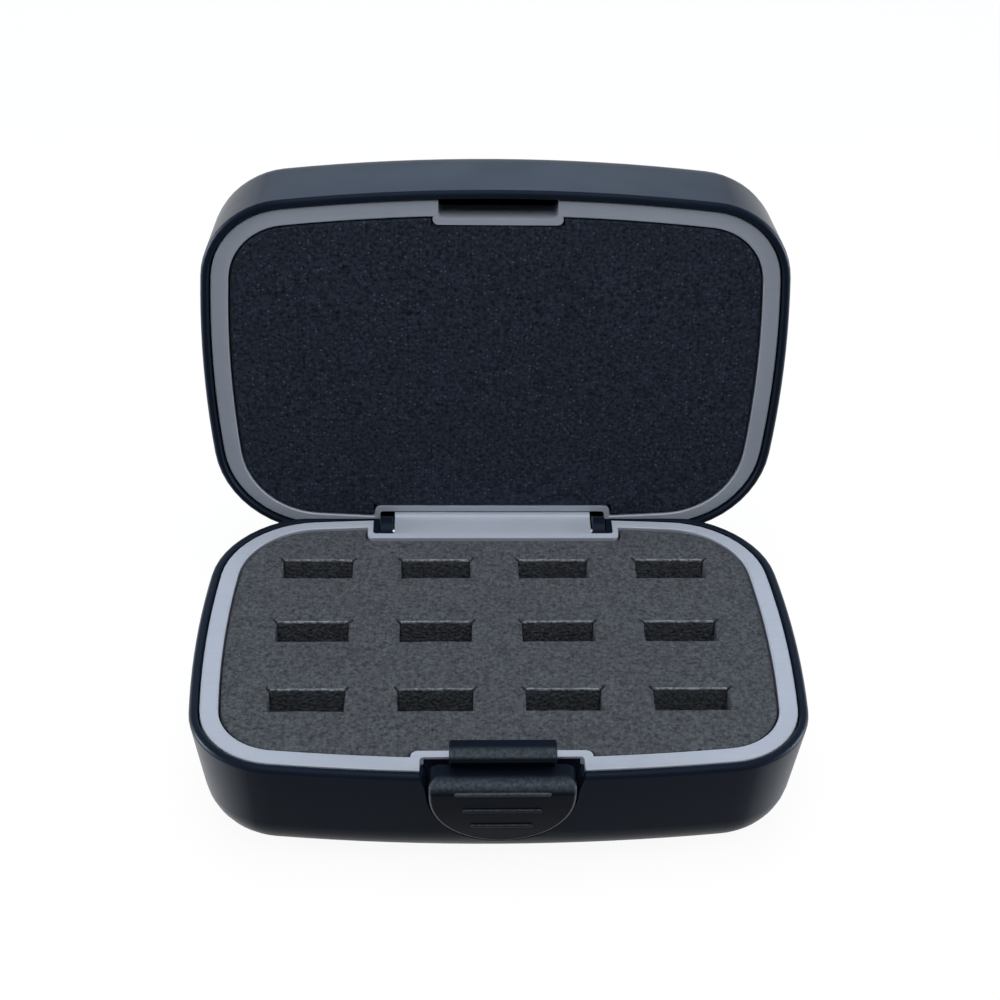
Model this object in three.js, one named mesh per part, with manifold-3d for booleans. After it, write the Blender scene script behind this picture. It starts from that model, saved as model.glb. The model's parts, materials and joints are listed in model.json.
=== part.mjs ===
// Hinged case for button cells: two moulded shells with grey liner frames,
// a slotted foam insert, a barrel hinge at the back and a sprung latch button at the front.
// Millimetres. Z is up, the front faces -Y, and the origin is the middle of the flat bottom.
import * as THREE from 'three';
import { mergeVertices } from 'three/addons/utils/BufferGeometryUtils.js';
import Module from 'manifold-3d';

const wasm = await Module();
wasm.setup();

// Case outline, measured at the base's rim
const CASE_WIDTH = 100;
const CASE_DEPTH = 68;
const FRONT_CORNER_RADIUS = 14.8;
const BACK_CORNER_RADIUS = 18.3;
const SIDE_BULGE = 0.7;
const FRONT_BULGE = 1.9;
const BACK_BULGE = 1;

// Shells
const BASE_HEIGHT = 22;
const LID_HEIGHT = 22;
const LID_OVERHANG = 0.4;
const WALL = 1.4;
const BASE_FLOOR = 3.2;
const LID_PANEL = 2;
const EDGE_RADIUS = 8.7;
const BASE_DRAFT = 0.12;
const LID_DRAFT = 0.045;
const FIT_GAP = 0.3;

// Liner frames
const LINER_WIDTH = 2.95;
const LINER_BACK_REACH = 0.9;
const LINER_THICKNESS = 1.5;
const SKIRT_THICKNESS = 0.8;
const BASE_SKIRT_DEPTH = 9;
const LID_SKIRT_DEPTH = 5.5;
const BASE_LINER_RECESS = 0.2;
const LID_LINER_RECESS = 0.6;

// Foam
const SLOT_COLUMNS = 4;
const SLOT_ROWS = 3;
const SLOT_WIDTH = 12.2;
const SLOT_GAP = 4.9;
const SLOT_COLUMN_PITCH = 20.6;
const SLOT_ROW_PITCH = 16.9;
const SLOTS_BACKWARDS = 1;
const SHEET_THICKNESS = 10;
const SHEET_RECESS = 0.5;
const LID_FOAM_RECESS = 0.7;
const LID_FOAM_THICKNESS = 8;

// Hinge
const OPEN_ANGLE = 92;
const HINGE_FROM_BACK = 2.6;
const HINGE_DROP = 2.6;
const HINGE_PIN_RADIUS = 0.7;
const PIN_CLEARANCE = 0.08;
const SWING_CLEARANCE = 0.15;
const BARREL_RADIUS = 3.3;
const BARREL_LENGTH = 35.6;
const PANEL_RISE = 1.35;
const PANEL_FILLET = 2.1;
const KNUCKLE_RADIUS = 2.9;
const KNUCKLE_WIDTH = 2.2;
const SHELF_THICKNESS = 2;
const LEDGE_DROP = 0.4;
const LEAF_THICKNESS = 1.3;
const LEAF_HEIGHT = 7.5;
const BASE_HINGE_NOTCH_DEPTH = 6.2;
const LID_HINGE_NOTCH_DEPTH = 5;
const BASE_STRIP_WIDTH = 1.4;
const LID_STRIP_WIDTH = 1.1;
const STRIP_END = 0.9;
const SILL_DROP = 0.4;
const BASE_NOTCH_MARGIN = 1.3;
const LID_NOTCH_MARGIN = 0.2;

// Latch
const BUTTON_WIDTH = 22.6;
const BUTTON_STRAIGHT = 3.2;
const BUTTON_ROUND = 12.2;
const BUTTON_DROP = 0.2;
const BUTTON_BULGE = 1.4;
const BUTTON_CROWN = 2.6;
const BUTTON_CORNER = 1.6;
const PAD_BACK = 3.2;
const PLATE_BACK = 2.8;
const POCKET_DEPTH = 4.8;
const POCKET_GAP = 0.5;
const POCKET_WALL = 1.4;
const POCKET_FLARE = 0.9;
const HOOK_WIDTH = 16.4;
const HOOK_FRONT = 0.7;
const HOOK_BACK = 3.8;
const HOOK_HEIGHT = 4.6;
const BARB_HEIGHT = 2.3;
const BARB_DEPTH = 1.9;
const BARB_FACE = 1.2;
const ARM_FILLET = 0.3;
const ARM_ROOT = 1.8;
const CATCH_CLEARANCE = 0.2;
const LATCH_PIN_RADIUS = 0.75;
const LATCH_PIN_LENGTH = 18.8;
const LATCH_PIN_DROP = 13;
const LATCH_PIN_INSET = 3.3;
const PIVOT_RADIUS = 1.25;
const PIVOT_LENGTH = 11.4;
const RIB_COUNT = 3;
const RIB_PITCH = 4.2;
const RIB_DROP = 2.4;
const RIB_LENGTH = 14.8;
const RIB_TAPER = 2.5;
const RIB_SIZE = 0.8;
const RIB_RISE = 0.3;
const RIB_ROOT = 1.6;
const SPRING_WIDTH = 6;
const SPRING_THICKNESS = 0.3;
const SPRING_SPAN = 5.8;
const SPRING_DROP = 7.4;
const SPRING_CLEARANCE = 0.15;
const LID_LATCH_NOTCH_DEPTH = 4.75;
const LID_LATCH_NOTCH_MARGIN = 1.7;

// Places worked out from the sizes above
const RIM = BASE_HEIGHT;
const FRONT = -CASE_DEPTH / 2;
const BACK = CASE_DEPTH / 2;
const HINGE_Y = BACK - HINGE_FROM_BACK;
const HINGE_Z = RIM - HINGE_DROP;
const LATCH_PIN_Y = FRONT + LATCH_PIN_INSET;
const LATCH_PIN_Z = RIM - LATCH_PIN_DROP;
const LINER_INSET = WALL + FIT_GAP;
const LINER_INNER = LINER_INSET + LINER_WIDTH;
const LINER_BACK = BACK - LINER_INNER + LINER_BACK_REACH + SKIRT_THICKNESS / 2;
const FOAM_INSET = LINER_INNER + FIT_GAP;
const KNUCKLE_INNER = BARREL_LENGTH / 2 + FIT_GAP;
const KNUCKLE_OUTER = KNUCKLE_INNER + KNUCKLE_WIDTH;
const BASE_NOTCH_HALF = KNUCKLE_OUTER + BASE_NOTCH_MARGIN;
const LID_NOTCH_HALF = KNUCKLE_OUTER + LID_NOTCH_MARGIN;
const NOTCH_FLOOR = HINGE_Z - BARREL_RADIUS - FIT_GAP;
const SHELF_BOTTOM = NOTCH_FLOOR - SHELF_THICKNESS;
const LATCH_NOTCH_HALF = BUTTON_WIDTH / 2 + POCKET_GAP + POCKET_FLARE;
const BOSS_HALF = LATCH_NOTCH_HALF + POCKET_WALL;
const LID_LATCH_NOTCH_HALF = HOOK_WIDTH / 2 + LID_LATCH_NOTCH_MARGIN;
const FAR = 3;

// Fineness of the curved faces
const LONG_STEPS = 4;
const SHORT_STEPS = 6;
const CORNER_STEPS = 6;
const EDGE_STEPS = 5;
const ROUND_STEPS = 24;
const ARC_STEPS = 16;

const finish = (color, roughness, metalness) =>
  new THREE.MeshStandardMaterial({ color, roughness, metalness });
const shellFinish = () => finish(0x1b212c, 0.55, 0);
const linerFinish = () => finish(0xa8b1c2, 0.5, 0);
const foamFinish = () => finish(0x4e5359, 0.95, 0);
const lidFoamFinish = () => finish(0x1e232c, 0.95, 0);
const steelFinish = () => finish(0xb4b6b8, 0.3, 1);

// A closed geometry as a solid that can be joined and cut
function solidOf(geometry) {
  const bare = geometry.clone();
  bare.deleteAttribute('normal');
  bare.deleteAttribute('uv');
  const merged = mergeVertices(bare, 1e-5);
  return new wasm.Manifold(new wasm.Mesh({
    numProp: 3,
    vertProperties: new Float32Array(merged.attributes.position.array),
    triVerts: new Uint32Array(merged.index.array),
  }));
}

function geometryOf(solid) {
  const mesh = solid.getMesh();
  const geometry = new THREE.BufferGeometry();
  geometry.setAttribute('position', new THREE.BufferAttribute(mesh.vertProperties, 3));
  geometry.setIndex(new THREE.BufferAttribute(mesh.triVerts, 1));
  geometry.computeVertexNormals();
  return geometry;
}

function piece(name, solid, material) {
  const mesh = new THREE.Mesh(geometryOf(solid), material);
  mesh.name = name;
  return mesh;
}

const at = (x, y) => new THREE.Vector2(x, y);

// The case outline, as the places it is rounded about, the way it faces there and its radius
const CORNER_X = CASE_WIDTH / 2 - SIDE_BULGE;
const FRONT_CORNER = { x: CORNER_X - FRONT_CORNER_RADIUS, y: FRONT + FRONT_BULGE + FRONT_CORNER_RADIUS };
const BACK_CORNER = { x: CORNER_X - BACK_CORNER_RADIUS, y: BACK - BACK_BULGE - BACK_CORNER_RADIUS };
const SIDE_HALF = (BACK_CORNER.y - FRONT_CORNER.y) / 2;
const SIDE_LEAN = Math.atan2(2 * SIDE_BULGE, SIDE_HALF);
const FRONT_LEAN = Math.atan2(2 * FRONT_BULGE, FRONT_CORNER.x);
const BACK_LEAN = Math.atan2(2 * BACK_BULGE, BACK_CORNER.x);

// How far the bowed back has fallen away at a place along the case's width
const bowAt = (x) => BACK_BULGE * (x / BACK_CORNER.x) ** 2;

const shares = (steps, from = 0) =>
  Array.from({ length: steps + 1 - from }, (_, index) => (index + from) / steps);

function rightHalf() {
  const quarter = Math.PI / 2;
  const front = shares(LONG_STEPS).map((t) => ({
    x: FRONT_CORNER.x * t,
    y: FRONT + FRONT_CORNER_RADIUS + FRONT_BULGE * t * t,
    facing: Math.atan2(2 * FRONT_BULGE * t, FRONT_CORNER.x) - quarter,
    radius: FRONT_CORNER_RADIUS,
  }));
  const frontCorner = shares(CORNER_STEPS, 1).map((t) => ({
    ...FRONT_CORNER,
    facing: (FRONT_LEAN - quarter) * (1 - t) - SIDE_LEAN * t,
    radius: FRONT_CORNER_RADIUS,
  }));
  const side = shares(SHORT_STEPS, 1).map((t) => {
    const u = 2 * t - 1;
    const radius = FRONT_CORNER_RADIUS + (BACK_CORNER_RADIUS - FRONT_CORNER_RADIUS) * t;
    return {
      x: CASE_WIDTH / 2 - radius - SIDE_BULGE * u * u,
      y: FRONT_CORNER.y + 2 * SIDE_HALF * t,
      facing: Math.atan2(2 * SIDE_BULGE * u, SIDE_HALF),
      radius,
    };
  });
  const backCorner = shares(CORNER_STEPS, 1).map((t) => ({
    ...BACK_CORNER,
    facing: SIDE_LEAN * (1 - t) + (quarter - BACK_LEAN) * t,
    radius: BACK_CORNER_RADIUS,
  }));
  const back = shares(LONG_STEPS, 1).map((t) => ({
    x: BACK_CORNER.x * (1 - t),
    y: BACK - BACK_CORNER_RADIUS - BACK_BULGE * (1 - t) ** 2,
    facing: quarter - Math.atan2(2 * BACK_BULGE * (1 - t), BACK_CORNER.x),
    radius: BACK_CORNER_RADIUS,
  }));
  return [...front, ...frontCorner, ...side, ...backCorner, ...back];
}

// The outline moved inwards by inset; reach moves its back edge further back
function caseOutline(inset, reach = 0) {
  const right = rightHalf().map(({ x, y, facing, radius }) => {
    const depth = y + (radius - inset) * Math.sin(facing);
    const share = Math.max(depth, 0) / (BACK - inset);
    return at(x + (radius - inset) * Math.cos(facing), depth + reach * share);
  });
  const left = right.slice(1, -1).reverse().map((point) => at(-point.x, point.y));
  return [...right, ...left];
}

// A solid through case outlines, given as rising levels of height and inset
function loft(levels) {
  const rings = levels.map(({ z, inset, reach }) => (
    caseOutline(inset, reach).map((point) => [point.x, point.y, z])));
  const count = rings[0].length;
  const position = rings.flat(2);
  const index = [];
  for (let level = 0; level + 1 < rings.length; level += 1) {
    for (let i = 0; i < count; i += 1) {
      const a = level * count + i;
      const b = level * count + ((i + 1) % count);
      index.push(a, b, b + count, a, b + count, a + count);
    }
  }
  const top = (rings.length - 1) * count;
  for (let i = 1; i + 1 < count; i += 1) {
    index.push(0, i + 1, i);
    index.push(top, top + i, top + i + 1);
  }
  const geometry = new THREE.BufferGeometry();
  geometry.setAttribute('position', new THREE.Float32BufferAttribute(position, 3));
  geometry.setIndex(index);
  return solidOf(geometry);
}

// Extrusions along the case's width, and from front to back
function extruded(points, depth) {
  return new THREE.ExtrudeGeometry(new THREE.Shape(points), { depth, bevelEnabled: false });
}

const AXIS_X = new THREE.Vector3(1, 0, 0);
const AXIS_Y = new THREE.Vector3(0, 1, 0);
const AXIS_Z = new THREE.Vector3(0, 0, 1);

function crosswise(points, half) {
  const turn = new THREE.Matrix4().makeBasis(AXIS_Y, AXIS_Z, AXIS_X);
  return solidOf(extruded(points, 2 * half).translate(0, 0, -half).applyMatrix4(turn));
}

function frontToBack(points, near, far) {
  const turn = new THREE.Matrix4().makeBasis(AXIS_X, AXIS_Z, AXIS_Y.clone().negate());
  return solidOf(extruded(points, far - near).applyMatrix4(turn).translate(0, far, 0));
}

function block(x0, x1, y0, y1, z0, z1) {
  const geometry = new THREE.BoxGeometry(x1 - x0, y1 - y0, z1 - z0);
  return solidOf(geometry.translate((x0 + x1) / 2, (y0 + y1) / 2, (z0 + z1) / 2));
}

function rodAlongX(radius, length, y, z) {
  const geometry = new THREE.CylinderGeometry(radius, radius, length, ROUND_STEPS).rotateZ(Math.PI / 2);
  return solidOf(geometry.translate(0, y, z));
}

// Shell profiles: depth from the rim to inset from the outline, which starts outside it by the overhang
function outerLevels(height, draft, overhang) {
  const start = height - EDGE_RADIUS;
  const levels = [{ depth: 0, inset: -overhang }];
  for (let step = 0; step <= EDGE_STEPS; step += 1) {
    const angle = (Math.PI / 2) * (step / EDGE_STEPS);
    const depth = start + EDGE_RADIUS * Math.sin(angle);
    levels.push({ depth, inset: draft * depth + EDGE_RADIUS * (1 - Math.cos(angle)) - overhang });
  }
  return levels;
}

function innerLevels(height, draft, floor, overhang) {
  const radius = EDGE_RADIUS - floor;
  const start = height - EDGE_RADIUS;
  const face = WALL - overhang;
  const levels = [{ depth: -FAR, inset: face - draft * FAR }];
  for (let step = 0; step <= EDGE_STEPS; step += 1) {
    const angle = (Math.PI / 2) * (step / EDGE_STEPS);
    const depth = start + radius * Math.sin(angle);
    levels.push({ depth, inset: face + draft * depth + radius * (1 - Math.cos(angle)) });
  }
  return levels;
}

const downFromRim = (levels) =>
  loft(levels.map(({ depth, inset }) => ({ z: RIM - depth, inset })).reverse());
const upFromRim = (levels) => loft(levels.map(({ depth, inset }) => ({ z: RIM + depth, inset })));

// A pad that fills the liner's opening, less a margin
function liningPad(inset, low, high) {
  const edge = { inset, reach: LINER_BACK_REACH };
  return loft([{ z: low, ...edge }, { z: high, ...edge }]);
}

// A liner frame with a flat flange and a skirt, both from the rim's side to their own ends
function linerFrame(overhang, rimSide, flangeEnd, skirtEnd) {
  const low = Math.min(rimSide, flangeEnd);
  const high = Math.max(rimSide, flangeEnd);
  const inset = LINER_INSET - overhang;
  const inner = LINER_INNER - overhang;
  const skirtLow = Math.min(rimSide, skirtEnd);
  const skirtHigh = Math.max(rimSide, skirtEnd);
  const flange = loft([{ z: low, inset }, { z: high, inset }]);
  const skirt = liningPad(inner - SKIRT_THICKNESS, skirtLow, skirtHigh);
  const opening = liningPad(inner, skirtLow - FAR, skirtHigh + FAR);
  return { flange: flange.subtract(opening), skirt: skirt.subtract(opening) };
}

// The button's round lower end in front view, grown by a margin
const BUTTON_CENTRE = RIM - BUTTON_DROP - BUTTON_STRAIGHT;

function buttonRound(grow) {
  return shares(ARC_STEPS).map((share) => {
    const angle = Math.PI * (1 + share);
    const across = (BUTTON_WIDTH / 2 + grow) * Math.cos(angle);
    return at(across, BUTTON_CENTRE + (BUTTON_ROUND + grow) * Math.sin(angle));
  });
}

// The whole front view, with rounded corners at the top
function buttonOutline() {
  const across = BUTTON_WIDTH / 2 - BUTTON_CORNER;
  const height = RIM - BUTTON_DROP - BUTTON_CORNER;
  const right = shares(EDGE_STEPS).map((share) => {
    const angle = (Math.PI / 2) * share;
    return at(across + BUTTON_CORNER * Math.cos(angle), height + BUTTON_CORNER * Math.sin(angle));
  });
  const left = right.map((point) => at(-point.x, point.y)).reverse();
  return [...buttonRound(0), ...right, ...left];
}

// The pocket's front view, wider towards the rim, up to a given height
function pocketOutline(grow, top) {
  const flare = (POCKET_FLARE * (top - BUTTON_CENTRE)) / (RIM - BUTTON_CENTRE);
  const half = BUTTON_WIDTH / 2 + grow + flare;
  return [...buttonRound(grow), at(half, top), at(-half, top)];
}

// The top of the pocket's back wall, which the base liner's strip caps
function pocketSill() {
  const pocketBack = FRONT + POCKET_DEPTH;
  const top = RIM - BASE_LINER_RECESS;
  return block(
    -LATCH_NOTCH_HALF, LATCH_NOTCH_HALF,
    pocketBack, pocketBack + BASE_STRIP_WIDTH,
    top - LINER_THICKNESS, top - SILL_DROP);
}

// What the base gives way to as the lid's rim swings over its back edge
function hingeRound() {
  const corner = block(-CASE_WIDTH / 2, CASE_WIDTH / 2, HINGE_Y, BACK + FAR, HINGE_Z, RIM + FAR);
  return corner.subtract(rodAlongX(HINGE_DROP - SWING_CLEARANCE, CASE_WIDTH + FAR, HINGE_Y, HINGE_Z));
}

const latchBore = () => rodAlongX(LATCH_PIN_RADIUS + PIN_CLEARANCE, BUTTON_WIDTH, LATCH_PIN_Y, LATCH_PIN_Z);

function baseShell() {
  const outer = downFromRim(outerLevels(BASE_HEIGHT, BASE_DRAFT, 0));
  const tub = outer.subtract(downFromRim(innerLevels(BASE_HEIGHT, BASE_DRAFT, BASE_FLOOR, 0)));
  const pocketBack = FRONT + POCKET_DEPTH;
  const bossTop = RIM - BASE_LINER_RECESS - LINER_THICKNESS;
  const bossOutline = pocketOutline(POCKET_GAP + POCKET_WALL, bossTop);
  const boss = frontToBack(bossOutline, FRONT, pocketBack + POCKET_WALL);
  const pocket = frontToBack(pocketOutline(POCKET_GAP, RIM + FAR), FRONT - FAR, pocketBack);
  const notchFront = BACK - BASE_HINGE_NOTCH_DEPTH;
  const shelf = block(-BASE_NOTCH_HALF, BASE_NOTCH_HALF, notchFront, BACK, SHELF_BOTTOM, RIM - LEDGE_DROP);
  const notch = block(-LID_NOTCH_HALF, LID_NOTCH_HALF, notchFront, BACK + FAR, NOTCH_FLOOR, RIM + FAR);
  let shell = tub.add(boss.intersect(outer)).add(pocketSill()).add(shelf.intersect(outer));
  shell = shell.subtract(pocket).subtract(notch).subtract(hingeRound());
  for (const side of [-1, 1]) {
    const centre = (side * (KNUCKLE_INNER + KNUCKLE_OUTER)) / 2;
    const half = KNUCKLE_WIDTH / 2;
    const eye = rodAlongX(KNUCKLE_RADIUS, KNUCKLE_WIDTH, HINGE_Y, HINGE_Z).translate([centre, 0, 0]);
    const web = block(
      centre - half, centre + half,
      HINGE_Y - KNUCKLE_RADIUS, HINGE_Y + WALL,
      SHELF_BOTTOM, HINGE_Z);
    shell = shell.add(eye).add(web);
  }
  shell = shell.subtract(rodAlongX(HINGE_PIN_RADIUS + PIN_CLEARANCE, 2 * BASE_NOTCH_HALF, HINGE_Y, HINGE_Z));
  return shell.subtract(latchBore());
}

function baseLiner() {
  const top = RIM - BASE_LINER_RECESS;
  const low = top - LINER_THICKNESS;
  const hingeEdge = BACK - BASE_HINGE_NOTCH_DEPTH;
  const latchEdge = FRONT + POCKET_DEPTH;
  const hingeHalf = BASE_NOTCH_HALF + STRIP_END;
  const latchHalf = LATCH_NOTCH_HALF + BASE_STRIP_WIDTH;
  const gapHalf = BOSS_HALF + FIT_GAP;
  const { flange, skirt } = linerFrame(0, top, low, RIM - BASE_SKIRT_DEPTH);
  const latchGap = block(-gapHalf, gapHalf, FRONT, latchEdge + LINER_WIDTH, 0, low);
  const hingeStrip = block(
    -hingeHalf, hingeHalf,
    hingeEdge - BASE_STRIP_WIDTH, LINER_BACK,
    RIM - BASE_SKIRT_DEPTH, top);
  const latchStrip = block(
    -latchHalf, latchHalf,
    FRONT + LINER_INNER - SKIRT_THICKNESS, latchEdge + BASE_STRIP_WIDTH,
    low, top);
  const hingeNotch = block(-BASE_NOTCH_HALF, BASE_NOTCH_HALF, hingeEdge, BACK, 0, RIM + FAR);
  const latchNotch = block(-LATCH_NOTCH_HALF, LATCH_NOTCH_HALF, FRONT, latchEdge, 0, RIM + FAR);
  const frame = flange.add(skirt.subtract(latchGap)).add(hingeStrip).add(latchStrip);
  return frame.subtract(hingeNotch).subtract(latchNotch).subtract(pocketSill()).subtract(hingeRound());
}

// What both base foams leave free for the hinge strip and the latch pocket
function baseFoamGaps() {
  const hingeHalf = BASE_NOTCH_HALF + STRIP_END + FIT_GAP;
  const latchHalf = BOSS_HALF + FIT_GAP;
  const hingeEdge = BACK - BASE_HINGE_NOTCH_DEPTH - BASE_STRIP_WIDTH - FIT_GAP;
  const latchEdge = FRONT + POCKET_DEPTH + BASE_STRIP_WIDTH + FIT_GAP;
  const hinge = block(-hingeHalf, hingeHalf, hingeEdge, BACK, 0, RIM);
  return hinge.add(block(-latchHalf, latchHalf, FRONT, latchEdge, 0, RIM));
}

function slottedFoam() {
  const top = RIM - SHEET_RECESS;
  let sheet = liningPad(FOAM_INSET, top - SHEET_THICKNESS, top).subtract(baseFoamGaps());
  for (let row = 0; row < SLOT_ROWS; row += 1) {
    for (let column = 0; column < SLOT_COLUMNS; column += 1) {
      const x = (column - (SLOT_COLUMNS - 1) / 2) * SLOT_COLUMN_PITCH;
      const y = SLOTS_BACKWARDS + (row - (SLOT_ROWS - 1) / 2) * SLOT_ROW_PITCH;
      const halfX = SLOT_WIDTH / 2;
      const halfY = SLOT_GAP / 2;
      sheet = sheet.subtract(block(x - halfX, x + halfX, y - halfY, y + halfY, 0, RIM + FAR));
    }
  }
  return sheet;
}

// The pad rests on the floor and follows the tub's rounded corner up to the sheet
function foamPad() {
  const [, ...floorLevels] = innerLevels(BASE_HEIGHT, BASE_DRAFT, BASE_FLOOR, 0);
  const sides = floorLevels.map(({ depth, inset }) => (
    { depth, inset: Math.max(inset + FIT_GAP, FOAM_INSET) }));
  const top = { depth: SHEET_RECESS + SHEET_THICKNESS, inset: FOAM_INSET };
  return downFromRim([top, ...sides]).subtract(baseFoamGaps());
}

// The button in side view: inset from the case's front face against height from the rim
const sideView = (points) => points.map(([inset, rise]) => at(FRONT + inset, RIM + rise));

function buttonFront(rise) {
  const low = -BUTTON_DROP - BUTTON_STRAIGHT - BUTTON_ROUND;
  const share = (rise + BUTTON_DROP) / (low + BUTTON_DROP);
  const wallInset = -BASE_DRAFT * rise;
  return wallInset - BUTTON_BULGE * (1 - share * share);
}

function latchButton() {
  const low = -BUTTON_DROP - BUTTON_STRAIGHT - BUTTON_ROUND;
  const crown = -BUTTON_DROP - BUTTON_CROWN;
  const front = [];
  for (let step = 0; step <= EDGE_STEPS; step += 1) {
    const angle = (Math.PI / 2) * (step / EDGE_STEPS);
    const rise = crown + BUTTON_CROWN * Math.cos(angle);
    front.push([buttonFront(crown) + BUTTON_CROWN * (1 - Math.sin(angle)), rise]);
  }
  for (let step = 1; step <= EDGE_STEPS; step += 1) {
    const rise = crown + ((low - crown) * step) / EDGE_STEPS;
    front.push([buttonFront(rise), rise]);
  }
  const shoulder = -BUTTON_DROP - BUTTON_STRAIGHT;
  const plate = sideView([
    [PAD_BACK, -BUTTON_DROP],
    ...front,
    [PLATE_BACK, low],
    [PLATE_BACK, shoulder - FIT_GAP],
    [PAD_BACK, shoulder],
  ]);
  const armFront = HOOK_FRONT + BARB_DEPTH;
  const bar = sideView([
    [HOOK_BACK, HOOK_HEIGHT],
    [HOOK_FRONT + BARB_FACE, HOOK_HEIGHT],
    [HOOK_FRONT, BARB_HEIGHT + BARB_FACE],
    [HOOK_FRONT, BARB_HEIGHT],
    [armFront, BARB_HEIGHT],
    [armFront, ARM_FILLET],
    [armFront - ARM_FILLET, -BUTTON_DROP],
    [armFront - ARM_FILLET, -ARM_ROOT],
    [HOOK_BACK, -ARM_ROOT],
  ]);
  const pad = crosswise(plate, BUTTON_WIDTH).intersect(
    frontToBack(buttonOutline(), FRONT - FAR, FRONT + POCKET_DEPTH));
  let button = pad.add(crosswise(bar, HOOK_WIDTH / 2));
  for (let rib = 0; rib < RIB_COUNT; rib += 1) {
    const rise = -RIB_DROP - rib * RIB_PITCH;
    const half = (RIB_LENGTH - rib * RIB_TAPER) / 2;
    const face = buttonFront(rise);
    button = button.add(crosswise(sideView([
      [face - RIB_RISE, rise - RIB_SIZE / 2],
      [face + RIB_ROOT, rise - RIB_SIZE / 2],
      [face + RIB_ROOT, rise + RIB_SIZE / 2],
      [face - RIB_RISE, rise + RIB_SIZE / 2],
    ]), half));
  }
  button = button.add(rodAlongX(PIVOT_RADIUS, PIVOT_LENGTH, LATCH_PIN_Y, LATCH_PIN_Z));
  return button.subtract(latchBore());
}

// A bowed strip between the button's back and the pocket's back wall
function latchSpring() {
  const foot = POCKET_DEPTH - SPRING_CLEARANCE - SPRING_THICKNESS;
  const crest = PLATE_BACK + SPRING_CLEARANCE;
  const near = [];
  const far = [];
  for (let step = 0; step <= ARC_STEPS / 2; step += 1) {
    const t = (4 * step) / ARC_STEPS - 1;
    const inset = foot - (foot - crest) * (1 - t * t);
    const rise = -SPRING_DROP + (SPRING_SPAN / 2) * t;
    near.push([inset, rise]);
    far.unshift([inset + SPRING_THICKNESS, rise]);
  }
  return crosswise(sideView([...near, ...far]), SPRING_WIDTH / 2);
}

function lidShell() {
  const outer = upFromRim(outerLevels(LID_HEIGHT, LID_DRAFT, LID_OVERHANG));
  const cup = outer.subtract(upFromRim(innerLevels(LID_HEIGHT, LID_DRAFT, LID_PANEL, LID_OVERHANG)));
  const barbHalf = HOOK_WIDTH / 2 + POCKET_GAP;
  const recess = block(
    -barbHalf, barbHalf,
    FRONT + HOOK_FRONT - CATCH_CLEARANCE, FRONT + LINER_INSET,
    RIM + BARB_HEIGHT - CATCH_CLEARANCE, RIM + HOOK_HEIGHT + POCKET_GAP);
  const notchTop = HINGE_Z + BARREL_RADIUS + FIT_GAP;
  const notch = block(
    -LID_NOTCH_HALF, LID_NOTCH_HALF,
    HINGE_Y - BARREL_RADIUS, BACK + FAR,
    RIM - FAR, notchTop);
  return cup.subtract(recess).subtract(notch);
}

function lidLiner() {
  const low = RIM + LID_LINER_RECESS;
  const high = low + LINER_THICKNESS;
  const skirtTop = low + LID_SKIRT_DEPTH;
  const hingeEdge = BACK - LID_HINGE_NOTCH_DEPTH;
  const latchEdge = FRONT + LID_LATCH_NOTCH_DEPTH;
  const hingeHalf = LID_NOTCH_HALF + STRIP_END;
  const latchHalf = LID_LATCH_NOTCH_HALF + STRIP_END;
  const { flange, skirt } = linerFrame(LID_OVERHANG, low, high, skirtTop);
  const hingeStrip = block(
    -hingeHalf, hingeHalf,
    hingeEdge - LID_STRIP_WIDTH, LINER_BACK + LID_OVERHANG,
    low, skirtTop);
  const latchStrip = block(
    -latchHalf, latchHalf,
    FRONT + LINER_INNER - SKIRT_THICKNESS, latchEdge + LID_STRIP_WIDTH,
    low, skirtTop);
  const hingeNotch = block(-LID_NOTCH_HALF, LID_NOTCH_HALF, hingeEdge, BACK, RIM, skirtTop + FAR);
  const latchNotch = block(
    -LID_LATCH_NOTCH_HALF, LID_LATCH_NOTCH_HALF,
    FRONT, latchEdge,
    RIM, skirtTop + FAR);
  return flange.add(skirt).add(hingeStrip).add(latchStrip).subtract(hingeNotch).subtract(latchNotch);
}

function lidFoam() {
  const low = RIM + LID_FOAM_RECESS;
  const high = low + LID_FOAM_THICKNESS;
  const hingeHalf = LID_NOTCH_HALF + STRIP_END + FIT_GAP;
  const latchHalf = LID_LATCH_NOTCH_HALF + STRIP_END + FIT_GAP;
  const hingeEdge = BACK - LID_HINGE_NOTCH_DEPTH - LID_STRIP_WIDTH - FIT_GAP;
  const latchEdge = FRONT + LID_LATCH_NOTCH_DEPTH + LID_STRIP_WIDTH + FIT_GAP;
  const pad = liningPad(FOAM_INSET - LID_OVERHANG, low, high);
  const hingeGap = block(-hingeHalf, hingeHalf, hingeEdge, BACK, low - FAR, high + FAR);
  const latchGap = block(-latchHalf, latchHalf, FRONT, latchEdge, low - FAR, high + FAR);
  return pad.subtract(hingeGap).subtract(latchGap);
}

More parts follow.
